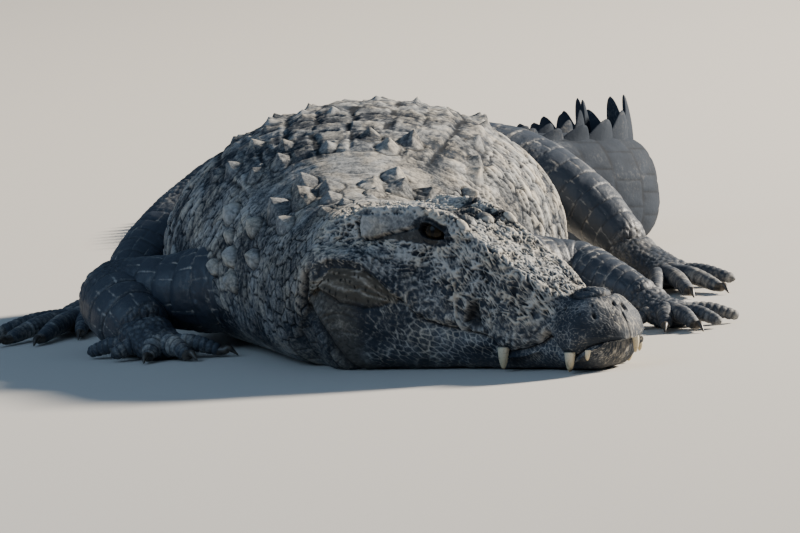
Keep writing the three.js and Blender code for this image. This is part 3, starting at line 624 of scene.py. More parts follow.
def nape(p):
    """The neck: a net of slender scales that run round it, parted by thin dark lines."""
    bend = 10 * uneven(p, 55, 4)
    net = cells(p.s + bend, p.w + bend, 9, 24, 0.95, seed=51)
    seam = crack(net.edge, 0.5, 2.5)
    wrinkle = strands((p.w + 3 * bend) / 60, (p.s + bend) / 11, 52, 3.0)
    lump = uneven(p, 60, 53)
    # Paler higher up: partly dried dust, partly painted shade near the floor.
    dust_and_painted_light = 0.27 + 0.18 * smooth(p.z, 60, 220) + 0.12 * net.n
    return {
        "rise": 1.2 * wrinkle - seam + 0.8 * (net.n - 0.5) + 1.3 * smooth(net.edge, 0, 3) + 3 * lump,
        "mud": dust_and_painted_light + 0.10 * wrinkle + 0.10 * lump + 0.08 * uneven(p, 7, 54) - 0.2 * seam,
        "seam": 0.95 * seam,
    }


def shoulder(p):
    """The shoulder: small scales of mixed sizes among fine wrinkles that run round the body."""
    bend = 10 * uneven(p, 60, 4)
    net = cells(p.s + bend, p.w + 0.4 * bend, 13, 18, 0.95, seed=61)
    seam = crack(net.edge, 0.3, 1.8)
    wrinkle = strands((p.w + 3 * bend) / 55, (p.s + 1.4 * bend) / 12, 63, 2.8)
    lump = uneven(p, 60, 62, 3)
    # Paler higher up: partly dried dust, partly painted shade near the floor.
    dust_and_painted_light = 0.17 + 0.18 * smooth(p.z, 80, 240) + 0.15 * net.n
    return {
        "rise": 4 * lump + 1.8 * wrinkle + 1.2 * smooth(net.edge, 0, 4) * (0.3 + net.n) - 0.8 * seam,
        "mud": dust_and_painted_light + 0.16 * lump + 0.24 * wrinkle + 0.14 * uneven(p, 7, 64) - 0.25 * seam,
        "seam": 0.8 * seam * (1 - 0.4 * wrinkle) + 0.2 * smooth(0.25 - wrinkle, 0, 0.25),
    }


def flank(p):
    """The flank: rows of pale scales drawn out round the body, with thin dark seams between them."""
    slanted = p.s + 0.25 * p.q
    bend = 9 * uneven(p, 70, 4)
    net = cells(slanted + bend, p.w + 0.5 * bend, 20, 34, 0.8, seed=71)
    seam = crack(net.edge, 0.5, 2.4)
    folds = streaks(p, slanted, 50, 160, 72)
    fine = uneven(p, 6, 74)
    # Paler higher up: partly dried dust, partly painted shade near the floor. The left side is paler still,
    # as painted sunlight.
    dust_and_painted_light = 0.13 + 0.12 * smooth(p.z, 80, 240) + 0.12 * (p.side > 0)
    return {
        "rise": 3.5 * folds + 4.2 * smooth(net.edge, 0, 7) * (0.25 + net.n) - 1.8 * seam + 0.35 * fine,
        "mud": dust_and_painted_light + 0.46 * net.n * smooth(net.edge, 1, 5) + 0.15 * folds - 0.4 * seam + 0.14 * fine,
        "seam": 0.9 * seam,
    }


def belly(p):
    """The belly: smooth squarish scales in straight rows."""
    net = bricks(p.s, p.w, 30, 27, 0.2, seed=81)
    seam = crack(net.edge, 0.5, 2.5)
    return {"rise": -1.2 * seam, "mud": 0.3 + 0.25 * net.n, "seam": 0.6 * seam, "wet": 0.3}


# The scutes of the back, in rows across and columns along: the shares round the section at which the
# columns meet, and each column's keel height and width.
ROW_FROM = 860
ROW_PITCH = 60
SCUTE_ROWS = 16
COLUMN_EDGES = [0, 0.064, 0.114, 0.172, 0.245]
KEEL_HEIGHTS = [11, 15, 18, 21]
COLUMN_WIDTHS = [44, 48, 56, 66]
KEEL_PEAK = 0.74                  # share along a scute at which its keel is highest


def scutes(p):
    """The back: flat bony scutes, some with a horn-shaped keel near the rear edge."""
    r = (p.s - ROW_FROM) / ROW_PITCH + 0.16 * uneven(p, 70, 4)
    k = np.interp(p.t, COLUMN_EDGES, range(5)) + 0.16 * uneven(p, 90, 9)
    row, column = np.floor(r), np.clip(np.floor(k), 0, 3)
    n, m = (scatter(row, column * 2 + p.side, seed=seed) for seed in (91, 92))
    x = r - row
    v = k - column - 0.5 + 0.2 * (m - 0.5)
    width = np.interp(column, range(4), COLUMN_WIDTHS)
    rough = uneven(p, 16, 93, 3)
    streak = streaks(p, p.s, 34, 7, 95)
    edge = np.minimum(np.minimum(x, 1 - x) * ROW_PITCH, (0.5 - np.abs(v)) * width) + 2.5 * rough
    seam = crack(edge, 0.2, 2.6)
    climb = np.clip((x - 0.05) / (KEEL_PEAK - 0.05), 0, 1) ** 1.8
    spread = 0.34 * (1 - 0.35 * climb)
    tent = np.clip(1 - np.abs(v + 0.06 * rough) / spread, 0, 1) ** 1.15
    keel = climb * crack(x, KEEL_PEAK, KEEL_PEAK + 0.14) * tent
    tall = 0.9 * np.interp(column, range(4), KEEL_HEIGHTS) * (0.2 + n**1.5) * smooth(row, 1, 5)
    tall = tall * (row >= 0) * (row < SCUTE_ROWS)
    caked = 0.36 + 0.16 * (m - 0.5) + 0.22 * uneven(p, 6, 96)
    return {
        "rise": 3.4 * smooth(edge, 0, 9) + 1.4 * x + tall * keel + 1.6 * rough + 0.9 * streak,
        "mud": caked + 0.2 * keel + 0.26 * rough + 0.26 * streak - 0.2 * seam,
        "seam": 0.8 * seam + 0.3 * smooth(-streak, 0.25, 0.6),
    }


def saddle(p):
    """The hide between the nape's plates and the first row of scutes: smooth, finely wrinkled across."""
    bend = 8 * uneven(p, 40, 4)
    net = cells(p.s + bend, p.w, 13, 22, 0.95, seed=101)
    seam = crack(net.edge, 0.2, 1.5)
    folds = uneven(p, 45, 102, 3)
    streak = streaks(p, p.s + bend, 7, 30, 103)
    return {
        "rise": 3.4 * folds + 1.1 * streak - 0.5 * seam,
        "mud": 0.50 + 0.2 * folds + 0.26 * streak - 0.12 * seam,
        "seam": 0.35 * seam,
    }


def tail_skin(p):
    """The tail: whorls of smooth oblong scales, nearly bare of mud, and darkened all over to slate blue as
    painted shade.
    """
    net = bricks(p.s - ROW_FROM + 5 * uneven(p, 60, 4), p.w, 56, 46, 0.5, seed=111)
    seam = crack(net.edge, 0.3, 3.0)
    rough = uneven(p, 22, 112, 3)
    root = crack(p.s, VENT - 50, VENT + 420)
    rise = 0.8 * smooth(net.edge, 0, 9) + 0.6 * net.share - 0.4 * seam + 1.4 * rough
    return {
        "rise": rise * smooth(half_width(p.s), 5, 60),
        # Painted shade: the limb share and a seam share of 0.30 darken the whole tail, less towards its root.
        "mud": -0.04 + 0.05 * net.n + 0.16 * rough + 0.26 * root,
        "seam": 0.30 + 0.4 * seam - 0.3 * rough - 0.2 * root,
        "limb": 0.85,
    }


# Keeled plates of the nape, [station, share round, length, width, height], and the round studs of
# the shoulder, [station, share round, size], on both sides.
NAPE_PLATES = [
    [590, 0.05, 34, 30, 7], [594, 0.13, 34, 30, 7], [646, 0.07, 56, 44, 11], [700, 0.06, 62, 52, 15],
    [702, 0.14, 66, 56, 24], [718, 0.215, 64, 52, 25], [664, 0.235, 50, 40, 16], [758, 0.115, 60, 48, 19],
]
SHOULDER_STUDS = [
    [836, 0.30, 40], [746, 0.29, 38], [770, 0.40, 36], [698, 0.37, 34], [752, 0.46, 36], [806, 0.44, 28],
    [800, 0.35, 26],
]
# The tallest keels of the back's first rows, [station, share round, side, width, height].
BACK_KEELS = [
    [878, 0.14, -1, 34, 19], [968, 0.23, -1, 36, 22], [1010, 0.26, -1, 32, 17], [1022, 0.17, -1, 36, 20],
    [950, 0.12, -1, 32, 16], [930, 0.04, 1, 34, 19], [878, 0.08, 1, 38, 20], [920, 0.12, 1, 40, 30],
    [908, 0.27, 1, 34, 22], [1034, 0.22, 1, 36, 22], [950, 0.25, 1, 32, 18], [886, 0.04, -1, 30, 13],
    [884, 0.2, -1, 30, 16],
]
# The shares round between which the fleshy corner of the mouth lies, by station.
JOWL_TOP = table([
    [384, 0.668], [402, 0.645], [426, 0.618], [446, 0.603], [490, 0.592], [515, 0.555], [538, 0.48],
])
JOWL_LOW = table([
    [384, 0.68], [394, 0.712], [412, 0.74], [436, 0.757], [484, 0.757], [510, 0.735], [528, 0.66],
    [541, 0.52],
])
# The station at which the head's skin ends, by the share round.
HEAD_BACK = table([
    [0, 543], [0.42, 538], [0.53, 547], [0.60, 548], [0.70, 542], [0.785, 526], [0.87, 494], [1, 470],
])


def almond(p):
    """1 on the fleshy corner of the mouth and 0 off it."""
    top, low = JOWL_TOP(p.s), JOWL_LOW(p.s)
    return band(p.s, 390, 538, 5) * smooth(p.t, top - 0.004, top + 0.004) * crack(p.t, low - 0.012, low)


def dress_body(p):
    """Puts every region's scales on the body's patch."""
    back = HEAD_BACK(p.t)
    head = crack(p.s, back - 8, back + 8)
    tip = crack(p.s, 92, 122)
    jaws = smooth(p.t, MOUTH_AT - 0.004, MOUTH_AT + 0.004)
    low = smooth(p.t, 0.36 - 0.08 * smooth(p.s, 250, 400), 0.44)
    flesh = almond(p)
    face = head * (1 - tip) * (1 - jaws)
    layer(p, face * (1 - low), bony)
    layer(p, head * tip * (1 - jaws), nose)
    layer(p, face * low * (1 - flesh), cheek)
    layer(p, head * jaws * (1 - flesh), jaw)
    layer(p, head * flesh, jowl)
    trunk = smooth(p.s, 830, 880)
    neck = crack(p.s, 690, 770)
    side = smooth(p.t, 0.2, 0.27)
    upper = crack(p.t, 0.6, 0.68)
    rear = smooth(p.s, 880, 1000)
    beside = smooth(p.t, 0.235, 0.26)
    tail = smooth(p.s + 45 * uneven(p, 45, 104), VENT - 250, VENT - 90)
    body = (1 - head) * (1 - tail)
    crown = (1 - side) * smooth(p.s, 560, 620)
    layer(p, body * neck * upper * (1 - crown), nape)
    layer(p, body * crown * (1 - trunk), saddle)
    layer(p, body * (1 - neck) * (1 - rear) * side * upper, shoulder)
    layer(p, body * rear * beside * upper, flank)
    layer(p, body * trunk * (1 - beside), scutes)
    layer(p, body * (1 - upper), belly)
    layer(p, tail, tail_skin)


def darken(p, share):
    p.seam = np.maximum(p.seam, share)


# Folds as lines of [station, share round]: the ear's slit, the jowl, the neck and the throat.
EAR_SLIT = [
    [366, 0.246], [376, 0.249], [390, 0.258], [404, 0.266], [418, 0.272], [432, 0.281], [450, 0.294],
    [461, 0.295], [471, 0.284], [476, 0.26], [477, 0.235], [474, 0.212],
]
JOWL_FOLDS = [                    # each with its depth
    [[[538, 0.50], [515, 0.60], [496, 0.69], [464, 0.722], [440, 0.732], [416, 0.725], [393, 0.675]], 3.2],
    [[[468, 0.745], [440, 0.722], [412, 0.705], [396, 0.68]], 2.2],
    [[[541, 0.52], [524, 0.64], [508, 0.735], [476, 0.762], [438, 0.760], [412, 0.742], [390, 0.67]], 4.2],
    [[[532, 0.50], [508, 0.585], [486, 0.625], [452, 0.645], [420, 0.657], [397, 0.662]], 2.6],
    [[[514, 0.792], [490, 0.787], [466, 0.782], [438, 0.784]], 2.4],
    [[[505, 0.825], [480, 0.818], [450, 0.815]], 1.8],
]
HEAD_CREASE = [
    [526, 0.41], [538, 0.465], [545, 0.53], [547, 0.60], [541, 0.70], [524, 0.785], [506, 0.835], [492, 0.87],
    [478, 0.92],
]
NECK_FOLDS = [
    [[556, 0.40], [570, 0.50], [574, 0.62], [566, 0.76]],
    [[594, 0.34], [600, 0.50], [598, 0.66]],
    [[618, 0.40], [624, 0.52], [620, 0.64]],
    [[640, 0.34], [648, 0.46], [642, 0.60], [634, 0.70]],
    [[690, 0.32], [700, 0.44], [696, 0.60]],
]
# The lower edge of the ear's flap.
FLAP_EDGE = table([[366, 0.246], [390, 0.258], [418, 0.272], [450, 0.294], [466, 0.292], [477, 0.25]])
POCKET = [252, 0.44]              # the gap in the lip behind the big upper tooth
BROW = [[372, 0.200], [352, 0.202], [334, 0.208], [318, 0.216], [304, 0.226], [297, 0.238]]
POCKET_FOLD = [[290, 0.33], [283, 0.42], [278, 0.50], [276, 0.59]]
# Bony knobs between and before the eyes, on both sides: [station, share round, length, width, height].
BROW_KNOBS = [
    [314, 0.06, 32, 26, 9], [344, 0.085, 32, 20, 7], [292, 0.17, 26, 18, 6], [270, 0.10, 24, 16, 5],
]


def shape_head(p):
    """The head's own forms: flap of the ear, edge of the table, lips, pocket and folds."""
    slit = FLAP_EDGE(p.s)
    flap = smooth(p.s, 366, 384) * crack(p.s, 470, 478) * smooth(p.t, 0.205, 0.222)
    flap *= crack(p.t, slit - 0.010, slit - 0.001)
    soft = uneven(p, 18, 181)
    p.rise = lay(p.rise, flap, 0.85, 3.6 + 0.9 * soft)
    p.mud = lay(p.mud, flap, 0.85, 0.40 + 0.12 * soft + 0.12 * smooth(p.s, 410, 465))
    p.seam *= 1 - 0.95 * flap
    groove(p, EAR_SLIT, 7, 2.4, dark=1.0)
    # The wedge behind the eye, under the flap, darkened as painted shade and given a little flesh tone.
    foot = slit + 0.008 + 0.024 * crack(p.s, 366, 440)
    corner = band(p.s, 362, 436, 8) * band(p.t, slit + 0.004, foot, 0.004)
    p.rise = lay(p.rise, corner, 0.7, 1.0)
    p.mud = lay(p.mud, corner, 0.8, 0.10)
    darken(p, 0.4 * corner)
    p.flesh = np.maximum(p.flesh, 0.4 * corner)
    # The raised edge of the skull table over the flap, caked with paler mud that is painted sunlight.
    rim = bell(p.t, 0.185, 0.02) * band(p.s, 375, 470, 16)
    p.rise += 5.5 * rim
    p.mud += 0.22 * rim
    # The rim of the upper lip hangs over the corner of the mouth.
    lip = band(p.s, 400, 528, 24)
    p.rise += lip * (7 * bell(p.t, 0.565, 0.03) - 4 * bell(p.t, 0.604, 0.012))
    # Painted shade: less pale mud on the overhanging rim of the lip, above the corner of the mouth.
    p.mud -= 0.22 * band(p.s, 420, 520, 16) * bell(p.t, 0.535, 0.035) * (1 - almond(p))
    p.mud += 0.14 * band(p.s, 400, 520, 24) * band(p.t, 0.31, 0.40, 0.04)
    # Painted shade: the line of the mouth is sunk and darkened along the gap between the lips.
    wide = 0.010 + 0.006 * band(p.s, 260, 400, 30)
    mouth = bell(p.t, MOUTH_AT, wide) * crack(p.s, 484, 504) * smooth(p.s, 4, 16)
    p.rise -= 2.0 * mouth
    darken(p, mouth)
    p.rise += 5 * almond(p) * np.sin(np.pi * np.clip((p.s - 386) / 150, 0, 1)) ** 0.5
    for fold, depth in JOWL_FOLDS:
        groove(p, fold, depth, 2.0, dark=0.18 * depth, lip=0.4 * depth)
    groove(p, HEAD_CREASE, 11, 6.5, dark=0.95, lip=3)
    for fold in NECK_FOLDS:
        groove(p, fold, 2.4, 4, dark=0.3, lip=1.4)
    # Painted shade in the pocket's hollow.
    hole = dome(np.hypot((p.s - POCKET[0]) / 23, (p.t - POCKET[1]) / 0.13), 1)
    p.rise -= 15 * smooth(hole, 0, 0.6)
    darken(p, 0.95 * smooth(hole, 0.05, 0.4))
    ridge(p, POCKET_FOLD, 4.5, 2.6, 0.6)
    # The ridge over the eye, its pale mud partly painted sunlight.
    ridge(p, BROW, 4.0, 5.0, 0.42)
    for s0, t0, long, wide, height in BROW_KNOBS:
        for side in (-1, 1):
            knob(p, s0, t0, side, long, wide, height, keel=0.25, mud=0.66, moat=0.8)


NOSTRIL_STATION = 76
NOSTRIL_RADIUS = 30
PITS = [                          # [station, to the left, radius]
    [26, -6, 3.6], [22, 12, 5.6], [30, -47, 4.0], [40, -40, 2.4], [34, 38, 3.0], [50, -60, 2.4],
    [62, -52, 2.2], [44, -20, 1.8], [90, -48, 2.6],
]


def shape_nose(p):
    """The cushion with the two nostrils, the cleft of the upper lip and the pits of the nose."""
    top = (p.t < 0.45) & (p.s < 150)
    u = p.s - NOSTRIL_STATION
    r = np.hypot(u, p.y) / NOSTRIL_RADIUS
    cushion = np.clip(1 - r**3, 0, 1) ** 0.6 * top
    moat = bell(r, 1.06, 0.08) * top
    grain = uneven(p, 5, 24)
    p.rise += 5.5 * cushion - 2.8 * moat + 2.0 * cushion * grain
    p.mud += cushion * (0.35 * grain - 0.05)
    # Painted shade in the groove round the cushion.
    darken(p, 0.85 * moat)
    bow = 12 - 0.016 * u**2
    slots = (bell(p.y, bow, 2.6) + bell(-p.y, bow, 2.6)) * crack(np.abs(u), 8, 14) * top
    cleft = bell(p.y, 0, 2.0) * crack(p.s, 8, 22) * (p.t < MOUTH_AT)
    p.rise -= 6.5 * slots + 3.5 * cleft
    # Painted shade in the nostrils and the cleft.
    darken(p, np.maximum(slots, 0.9 * cleft))
    for s0, y0, radius in PITS:
        hole = dome(np.hypot(p.s - s0, p.y - y0), 1.5 * radius) * (p.t < 0.5)
        p.rise -= radius * hole
        # Painted shade in each pit.
        darken(p, smooth(hole, 0.2, 0.7))


def shape_trunk(p):
    for side in (-1, 1):
        for s0, t0, long, wide, height in NAPE_PLATES:
            knob(p, s0, t0, side, long, wide, height)
        for s0, t0, size in SHOULDER_STUDS:
            knob(p, s0, t0, side, size, size, 0.48 * size, keel=0.5, lean=0.05, mud=0.40, moat=4.5)
    for s0, t0, side, wide, height in BACK_KEELS:
        knob(p, s0, t0, side, 1.5 * wide, 1.1 * wide, 0.88 * height)


# ---------- eyelids, which close over the eyeballs ----------
EYE_STATION = 345
EYE_OUT = 58
EYE_HEIGHT = 218
EYE_RADIUS = 21
LID = 5.5                         # how far the lids' face lies outside the ball
LID_REGION = 62                   # how far from the ball's centre the lids reach
OPENING = [31, 11]                # half length and half height of the gap between the lids
OPENING_DROP = 2.5                # how far its middle lies below the ball's
OPENING_TILT = 7.0                # how much lower its front corner lies than its middle


def eye_axes(side):
    """The eye's centre, and the directions out of the head, towards the snout and up."""
    turn = float(section_turn(EYE_STATION))
    centre = place(EYE_STATION, side * EYE_OUT, EYE_HEIGHT)
    forward = np.array([math.cos(turn), math.sin(turn), 0])
    out = unit(np.array([-math.sin(turn) * side, math.cos(turn) * side, 0.30]))
    forward = unit(forward - forward.dot(out) * out)
    up = np.cross(out, forward) * side
    return centre, out, forward, up if up[2] > 0 else -up


def shape_eyes(p):
    """Raises the lids as a dome over each ball, and opens them."""
    lid_radius = EYE_RADIUS + LID
    for side in (-1, 1):
        centre, _, forward, up = eye_axes(side)
        near = (np.linalg.norm(p.at - centre, axis=-1) < LID_REGION) & (p.side == side)
        at, n = p.at[near], p.normal[near]
        d = at - centre
        depth = (d * n).sum(-1)
        off = np.sqrt(np.maximum((d**2).sum(-1) - depth**2, 0))
        lid, ball = (np.sqrt(np.maximum(r**2 - off**2, 0)) - depth for r in (lid_radius, EYE_RADIUS))
        lid = np.where(off < lid_radius, lid, -20)
        face = d + n * lid[:, None]
        u = face @ forward / OPENING[0]
        v = (face @ up + OPENING_DROP + OPENING_TILT * u) / OPENING[1]
        ring = np.sqrt(0.25 * u**2 + v**2) + 0.75 * u**2
        reach = (ring - 1) * OPENING[1]
        above = smooth(v, -0.25, 0.25)
        below = 1 - above
        folds = (
            2.0 * bell(reach, 2.4, 1.8)
            - 2.6 * above * bell(reach, 6.2, 1.5)
            - 1.6 * below * bell(reach, 8.5, 1.2)
            + above * (3.0 + 1.2 * noise(at, 7, 2, 191)) * bell(reach, 11, 3.0)
        )
        skin_lid = smooth(lid, -8, 2)
        gap = crack(ring, 0.96, 1.04)
        base = p.rise[near]
        soft = 7.0
        h = np.clip(0.5 + 0.5 * (lid - base) / soft, 0, 1)
        over = base + (lid - base) * h + soft * h * (1 - h) + folds * skin_lid
        p.rise[near] = over * (1 - gap) + (np.minimum(ball, lid) - 7) * gap
        # Painted shade: a dark arc in each lid's fold, a darker ring round the opening, and darkness at the
        # opening's edge and in its gap. The lower lid's dots and tan are its own.
        lid_fold_shade = above * bell(reach, 6.2, 2.1) + below * bell(reach, 8.8, 0.9)
        dots = below * smooth(noise(at, 3.4, 1, 192), 0.15, 0.5) * band(reach, 1.5, 7.5, 1)
        shade_round_opening = band(reach, 0, 9.5, 1.5)
        dark = np.maximum(p.seam[near] * (1 - 0.6 * skin_lid), 0.9 * lid_fold_shade * skin_lid)
        dark = np.maximum(np.maximum(dark, 0.5 * dots * skin_lid), 0.30 * shade_round_opening)
        p.seam[near] = np.clip(dark + 0.7 * bell(reach, 0, 1.5) * skin_lid + gap, 0, 1)
        # Painted sunlight: a pale band over the upper lid and a pale rim at its edge.
        lit = above * bell(reach, 11.5, 3.2)
        rim = above * bell(reach, 3.0, 1.4) * (u < 0.3)
        mud = lay(p.mud[near], skin_lid, 0.6, 0.16 + 0.55 * lit)
        p.mud[near] = mud * (1 - 0.55 * shade_round_opening) + 0.28 * rim * skin_lid
        lower = 0.35 * below * band(reach, 0, 8, 1.5) * skin_lid
        p.flesh[near] = np.maximum(p.flesh[near], lower)


# ---------- meshes ----------
MAP_MARGIN = 0.02                 # share of a grid's strip of the map that its end caps take


def into_scene(name, data):
    made = bpy.data.objects.new(name, data)
    bpy.context.scene.collection.objects.link(made)
    return made


class Piece:
    """Gathers closed grids of points into one mesh, with normals, a map and the material's fields."""

    def __init__(self, name):
        self.name = name
        self.points, self.normals, self.faces, self.maps, self.weights = [], [], [], [], []
        self.values = {k: [] for k in FIELDS}
        self.count = 0

    def put(self, points, normals, values):
        self.points.append(points)
        self.normals.append(normals)
        for k in FIELDS:
            self.values[k].append(values[k])
        self.count += len(points)
        return self.count - len(points)

    def face(self, corners, u, v, turned):
        if turned:
            corners, u, v = corners[:, ::-1], u[:, ::-1], v[:, ::-1]
        self.faces.append(corners)
        self.maps.append((np.stack([u, v], -1), len(self.weights) - 1))

    def add(self, at, normal, caps=(True, True), **fields):
        """at holds one ring of points to a row. The ends are closed by fans."""
        rows, columns = at.shape[:2]
        self.weights.append(rows * columns)
        fields = {k: np.broadcast_to(fields.get(k, 0.0), (rows, columns)) for k in FIELDS}
        base = self.put(at.reshape(-1, 3), normal.reshape(-1, 3), {k: f.ravel() for k, f in fields.items()})
        r, c = (x.reshape(-1, 1) for x in np.mgrid[:rows - 1, :columns])
        r = r + [0, 0, 1, 1]
        c = c + [0, 1, 1, 0]
        first = at[r[:, 0], c[:, 0]]
        cross = np.cross(at[r[:, 1], c[:, 1] % columns] - first, at[r[:, 3], c[:, 3]] - first)
        turned = (cross * normal[r[:, 0], c[:, 0]]).sum() < 0
        level = MAP_MARGIN + (1 - 2 * MAP_MARGIN) * r / (rows - 1)
        self.face(base + r * columns + c % columns, c / columns, level, turned)
        k = np.arange(columns)
        for end, row, inner in ((0, 0, 1), (1, rows - 1, rows - 2)):
            if not caps[end]:
                continue
            middle = at[row].mean(0)
            out = unit(middle - at[inner].mean(0))
            means = {name: f[row].mean(keepdims=True) for name, f in fields.items()}
            centre = self.put(middle[None], out[None], means)
            rim = base + row * columns
            corners = np.stack([rim + k, rim + (k + 1) % columns, 0 * k + centre], 1)
            u = np.stack([k, k + 1, k + 0.5], 1) / columns
            edge = abs(end - MAP_MARGIN)
            v = np.tile([edge, edge, float(end)], (columns, 1))
            side = np.cross(at[row] - middle, np.roll(at[row], -1, 0) - middle)
            self.face(corners, u, v, (side @ out).sum() < 0)
        return self

    def build(self, material):
        """Makes the mesh, in metres, and puts it into the scene."""
        points = np.concatenate(self.points) * MM
        sizes = np.concatenate([np.full(len(f), f.shape[1]) for f in self.faces])
        corners = np.concatenate([f.ravel() for f in self.faces])
        mesh = bpy.data.meshes.new(self.name)
        mesh.vertices.add(len(points))
        mesh.loops.add(len(corners))
        mesh.polygons.add(len(sizes))
        mesh.vertices.foreach_set("co", points.astype(np.float32).ravel())
        mesh.loops.foreach_set("vertex_index", corners.astype(np.int32))
        mesh.polygons.foreach_set("loop_start", (np.cumsum(sizes) - sizes).astype(np.int32))
        mesh.polygons.foreach_set("use_smooth", np.ones(len(sizes), bool))
        mesh.update(calc_edges=True)
        tops = np.cumsum(self.weights) / sum(self.weights)
        floors = np.concatenate([[0], tops[:-1]])
        places = []
        for spots, k in self.maps:
            spots[..., 1] = floors[k] + spots[..., 1] * (tops[k] - floors[k])
            places.append(spots.reshape(-1, 2))
        chart = mesh.uv_layers.new(name="OFBake")
        chart.data.foreach_set("uv", np.concatenate(places).astype(np.float32).ravel())
        for name, values in self.values.items():
            attribute = mesh.attributes.new(name, "FLOAT", "POINT")
            attribute.data.foreach_set("value", np.clip(np.concatenate(values), 0, 1).astype(np.float32))
        mesh.normals_split_custom_set_from_vertices(np.concatenate(self.normals).astype(np.float32))
        mesh.materials.append(material)
        made = into_scene(self.name, mesh)
        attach(made, "root")
        return made


def settle(patch):
    """Moves a patch's points out by its rise, on or above the floor, and works out its normals again."""
    patch.at = patch.at + patch.normal * patch.rise[..., None]
    patch.at[..., 2] = np.maximum(patch.at[..., 2], 0)
    patch.normal = outward(patch.at)
    return patch


def shares(patch, rows=slice(None), **fixed):
    """The fields of some rows of a patch, for a piece, and those that have one value all over."""
    return {k: getattr(patch, k)[rows] for k in FIELDS} | fixed


def rings(grid, low=0.0):
    """Levels from low to 1, one to a row, and angles all the way round, one to a column."""
    levels = np.linspace(low, 1, grid[0])[:, None]
    return levels, np.linspace(0, 2 * np.pi, grid[1], endpoint=False)[None]


# ---------- limbs ----------
# Each leg has its joints from inside the body to the wrist or ankle, a radius at each joint, its palm's
# [centre, half breadth], the places of its digits' tips on the floor, the relief of its plates and the
# length of its bands of scales.
LIMBS = [
    {
        "name": "foreleg_right",
        "nodes": ["upper_arm_right", "forearm_right", "hand_right"],
        "joints": [[480, -70, 116], [416, -245, 98], [342, -392, 90], [414, -376, 66], [488, -336, 38]],
        "radii": [60, 57, 59, 58, 40],
        "palm": [[524, -314, 22], 42],
        "digits": [[548, -212], [580, -266], [572, -330], [534, -394], [462, -440]],
        "digit_radius": 15,
        "relief": 1.0,
        "band": 36,
    },
    {
        "name": "foreleg_left",
        "nodes": ["upper_arm_left", "forearm_left", "hand_left"],
        "joints": [[470, 90, 110], [404, 240, 96], [326, 356, 90], [388, 426, 64], [448, 490, 37]],
        "radii": [56, 54, 47, 41, 30],
        "palm": [[488, 522, 20], 37],
        "digits": [[514, 462], [562, 516], [580, 566], [552, 606], [482, 634]],
        "digit_radius": 13,
        "relief": 0.35,
        "band": 22,
    },
    {
        "name": "hindleg_right",
        "nodes": ["thigh_right", "shank_right", "foot_right"],
        "joints": [
            [-430, -40, 160], [-396, -224, 184], [-310, -316, 156], [-190, -388, 104], [-74, -440, 46],
        ],
        "radii": [84, 74, 62, 52, 36],
        "palm": [[0, -490, 24], 42],
        "digits": [[150, -484], [206, -546], [190, -604], [104, -640]],
        "digit_radius": 15,
        "relief": 0.8,
        "band": 28,
    },
    {
        "name": "hindleg_left",
        "nodes": ["thigh_left", "shank_left", "foot_left"],
        "joints": [[-440, 50, 165], [-400, 190, 201], [-346, 288, 178], [-284, 370, 122], [-220, 440, 54]],
        "radii": [84, 74, 62, 52, 37],
        "palm": [[-140, 490, 26], 42],
        "digits": [[40, 484], [58, 540], [20, 590], [-96, 612]],
        "digit_radius": 14,
        "relief": 0.3,
        "band": 34,
    },
]
LIMB_GRID = (216, 120)
PALM_GRID = (56, 84)
DIGIT_GRID = (60, 40)
CLAW_GRID = (26, 20)
CLAWED_DIGITS = 3
DIGIT_HEIGHTS = [22, 25, 11]      # root, knuckle and tip
PALM_END_HEIGHT = 15
CLAW_LENGTH = 30


def curve(points, u):
    """Places on a smooth curve through the points, and its directions, at shares u of its length."""
    p = np.array(points, float)
    p = np.concatenate([[2 * p[0] - p[1]], p, [2 * p[-1] - p[-2]]])
    x = np.clip(u, 0, 1) * (len(p) - 3)
    i = np.clip(np.floor(x).astype(int), 0, len(p) - 4)
    f = (x - i)[:, None]
    a, b, c, d = (p[i + k] for k in range(4))
    along = (c - a) + 2 * (2 * a - 5 * b + 4 * c - d) * f + 3 * (3 * b - a - 3 * c + d) * f**2
    return spline(a, b, c, d, f), unit(along)


def tube(points, radii, grid, squash, blunt):
    """A patch round a curve. w runs round it from the top, and s along it. squash is its height as a
    share of its breadth, and blunt the share of its length over which its far end is rounded off."""
    levels, angle = rings(grid)
    u = levels[:, 0]
    centre, along = curve(points, u)
    radius = table([[k / (len(radii) - 1), r] for k, r in enumerate(radii)])(u)
    radius = radius * np.sqrt(1 - np.clip((u - 1 + blunt) / blunt, 0, 0.998) ** 2)
    side = unit(np.stack([along[:, 1], -along[:, 0], 0 * u], 1))
    up = np.cross(side, along)
    ring = (
        side[:, None] * (np.sin(angle) * radius[:, None])[..., None]
        + up[:, None] * (np.cos(angle) * radius[:, None] * squash)[..., None]
    )
    steps = np.concatenate([[0], np.cumsum(np.linalg.norm(np.diff(centre, axis=0), axis=1))])
    patch = SimpleNamespace(
        at=centre[:, None] + ring,
        s=np.repeat(steps[:, None], grid[1], 1),
        w=np.where(angle > np.pi, angle - 2 * np.pi, angle) * radius[:, None],
        share=np.repeat(levels, grid[1], 1),
        centre=centre,
        radius=radius,
    )
    patch.at[..., 2] = np.maximum(patch.at[..., 2], 0)
    return start(patch)


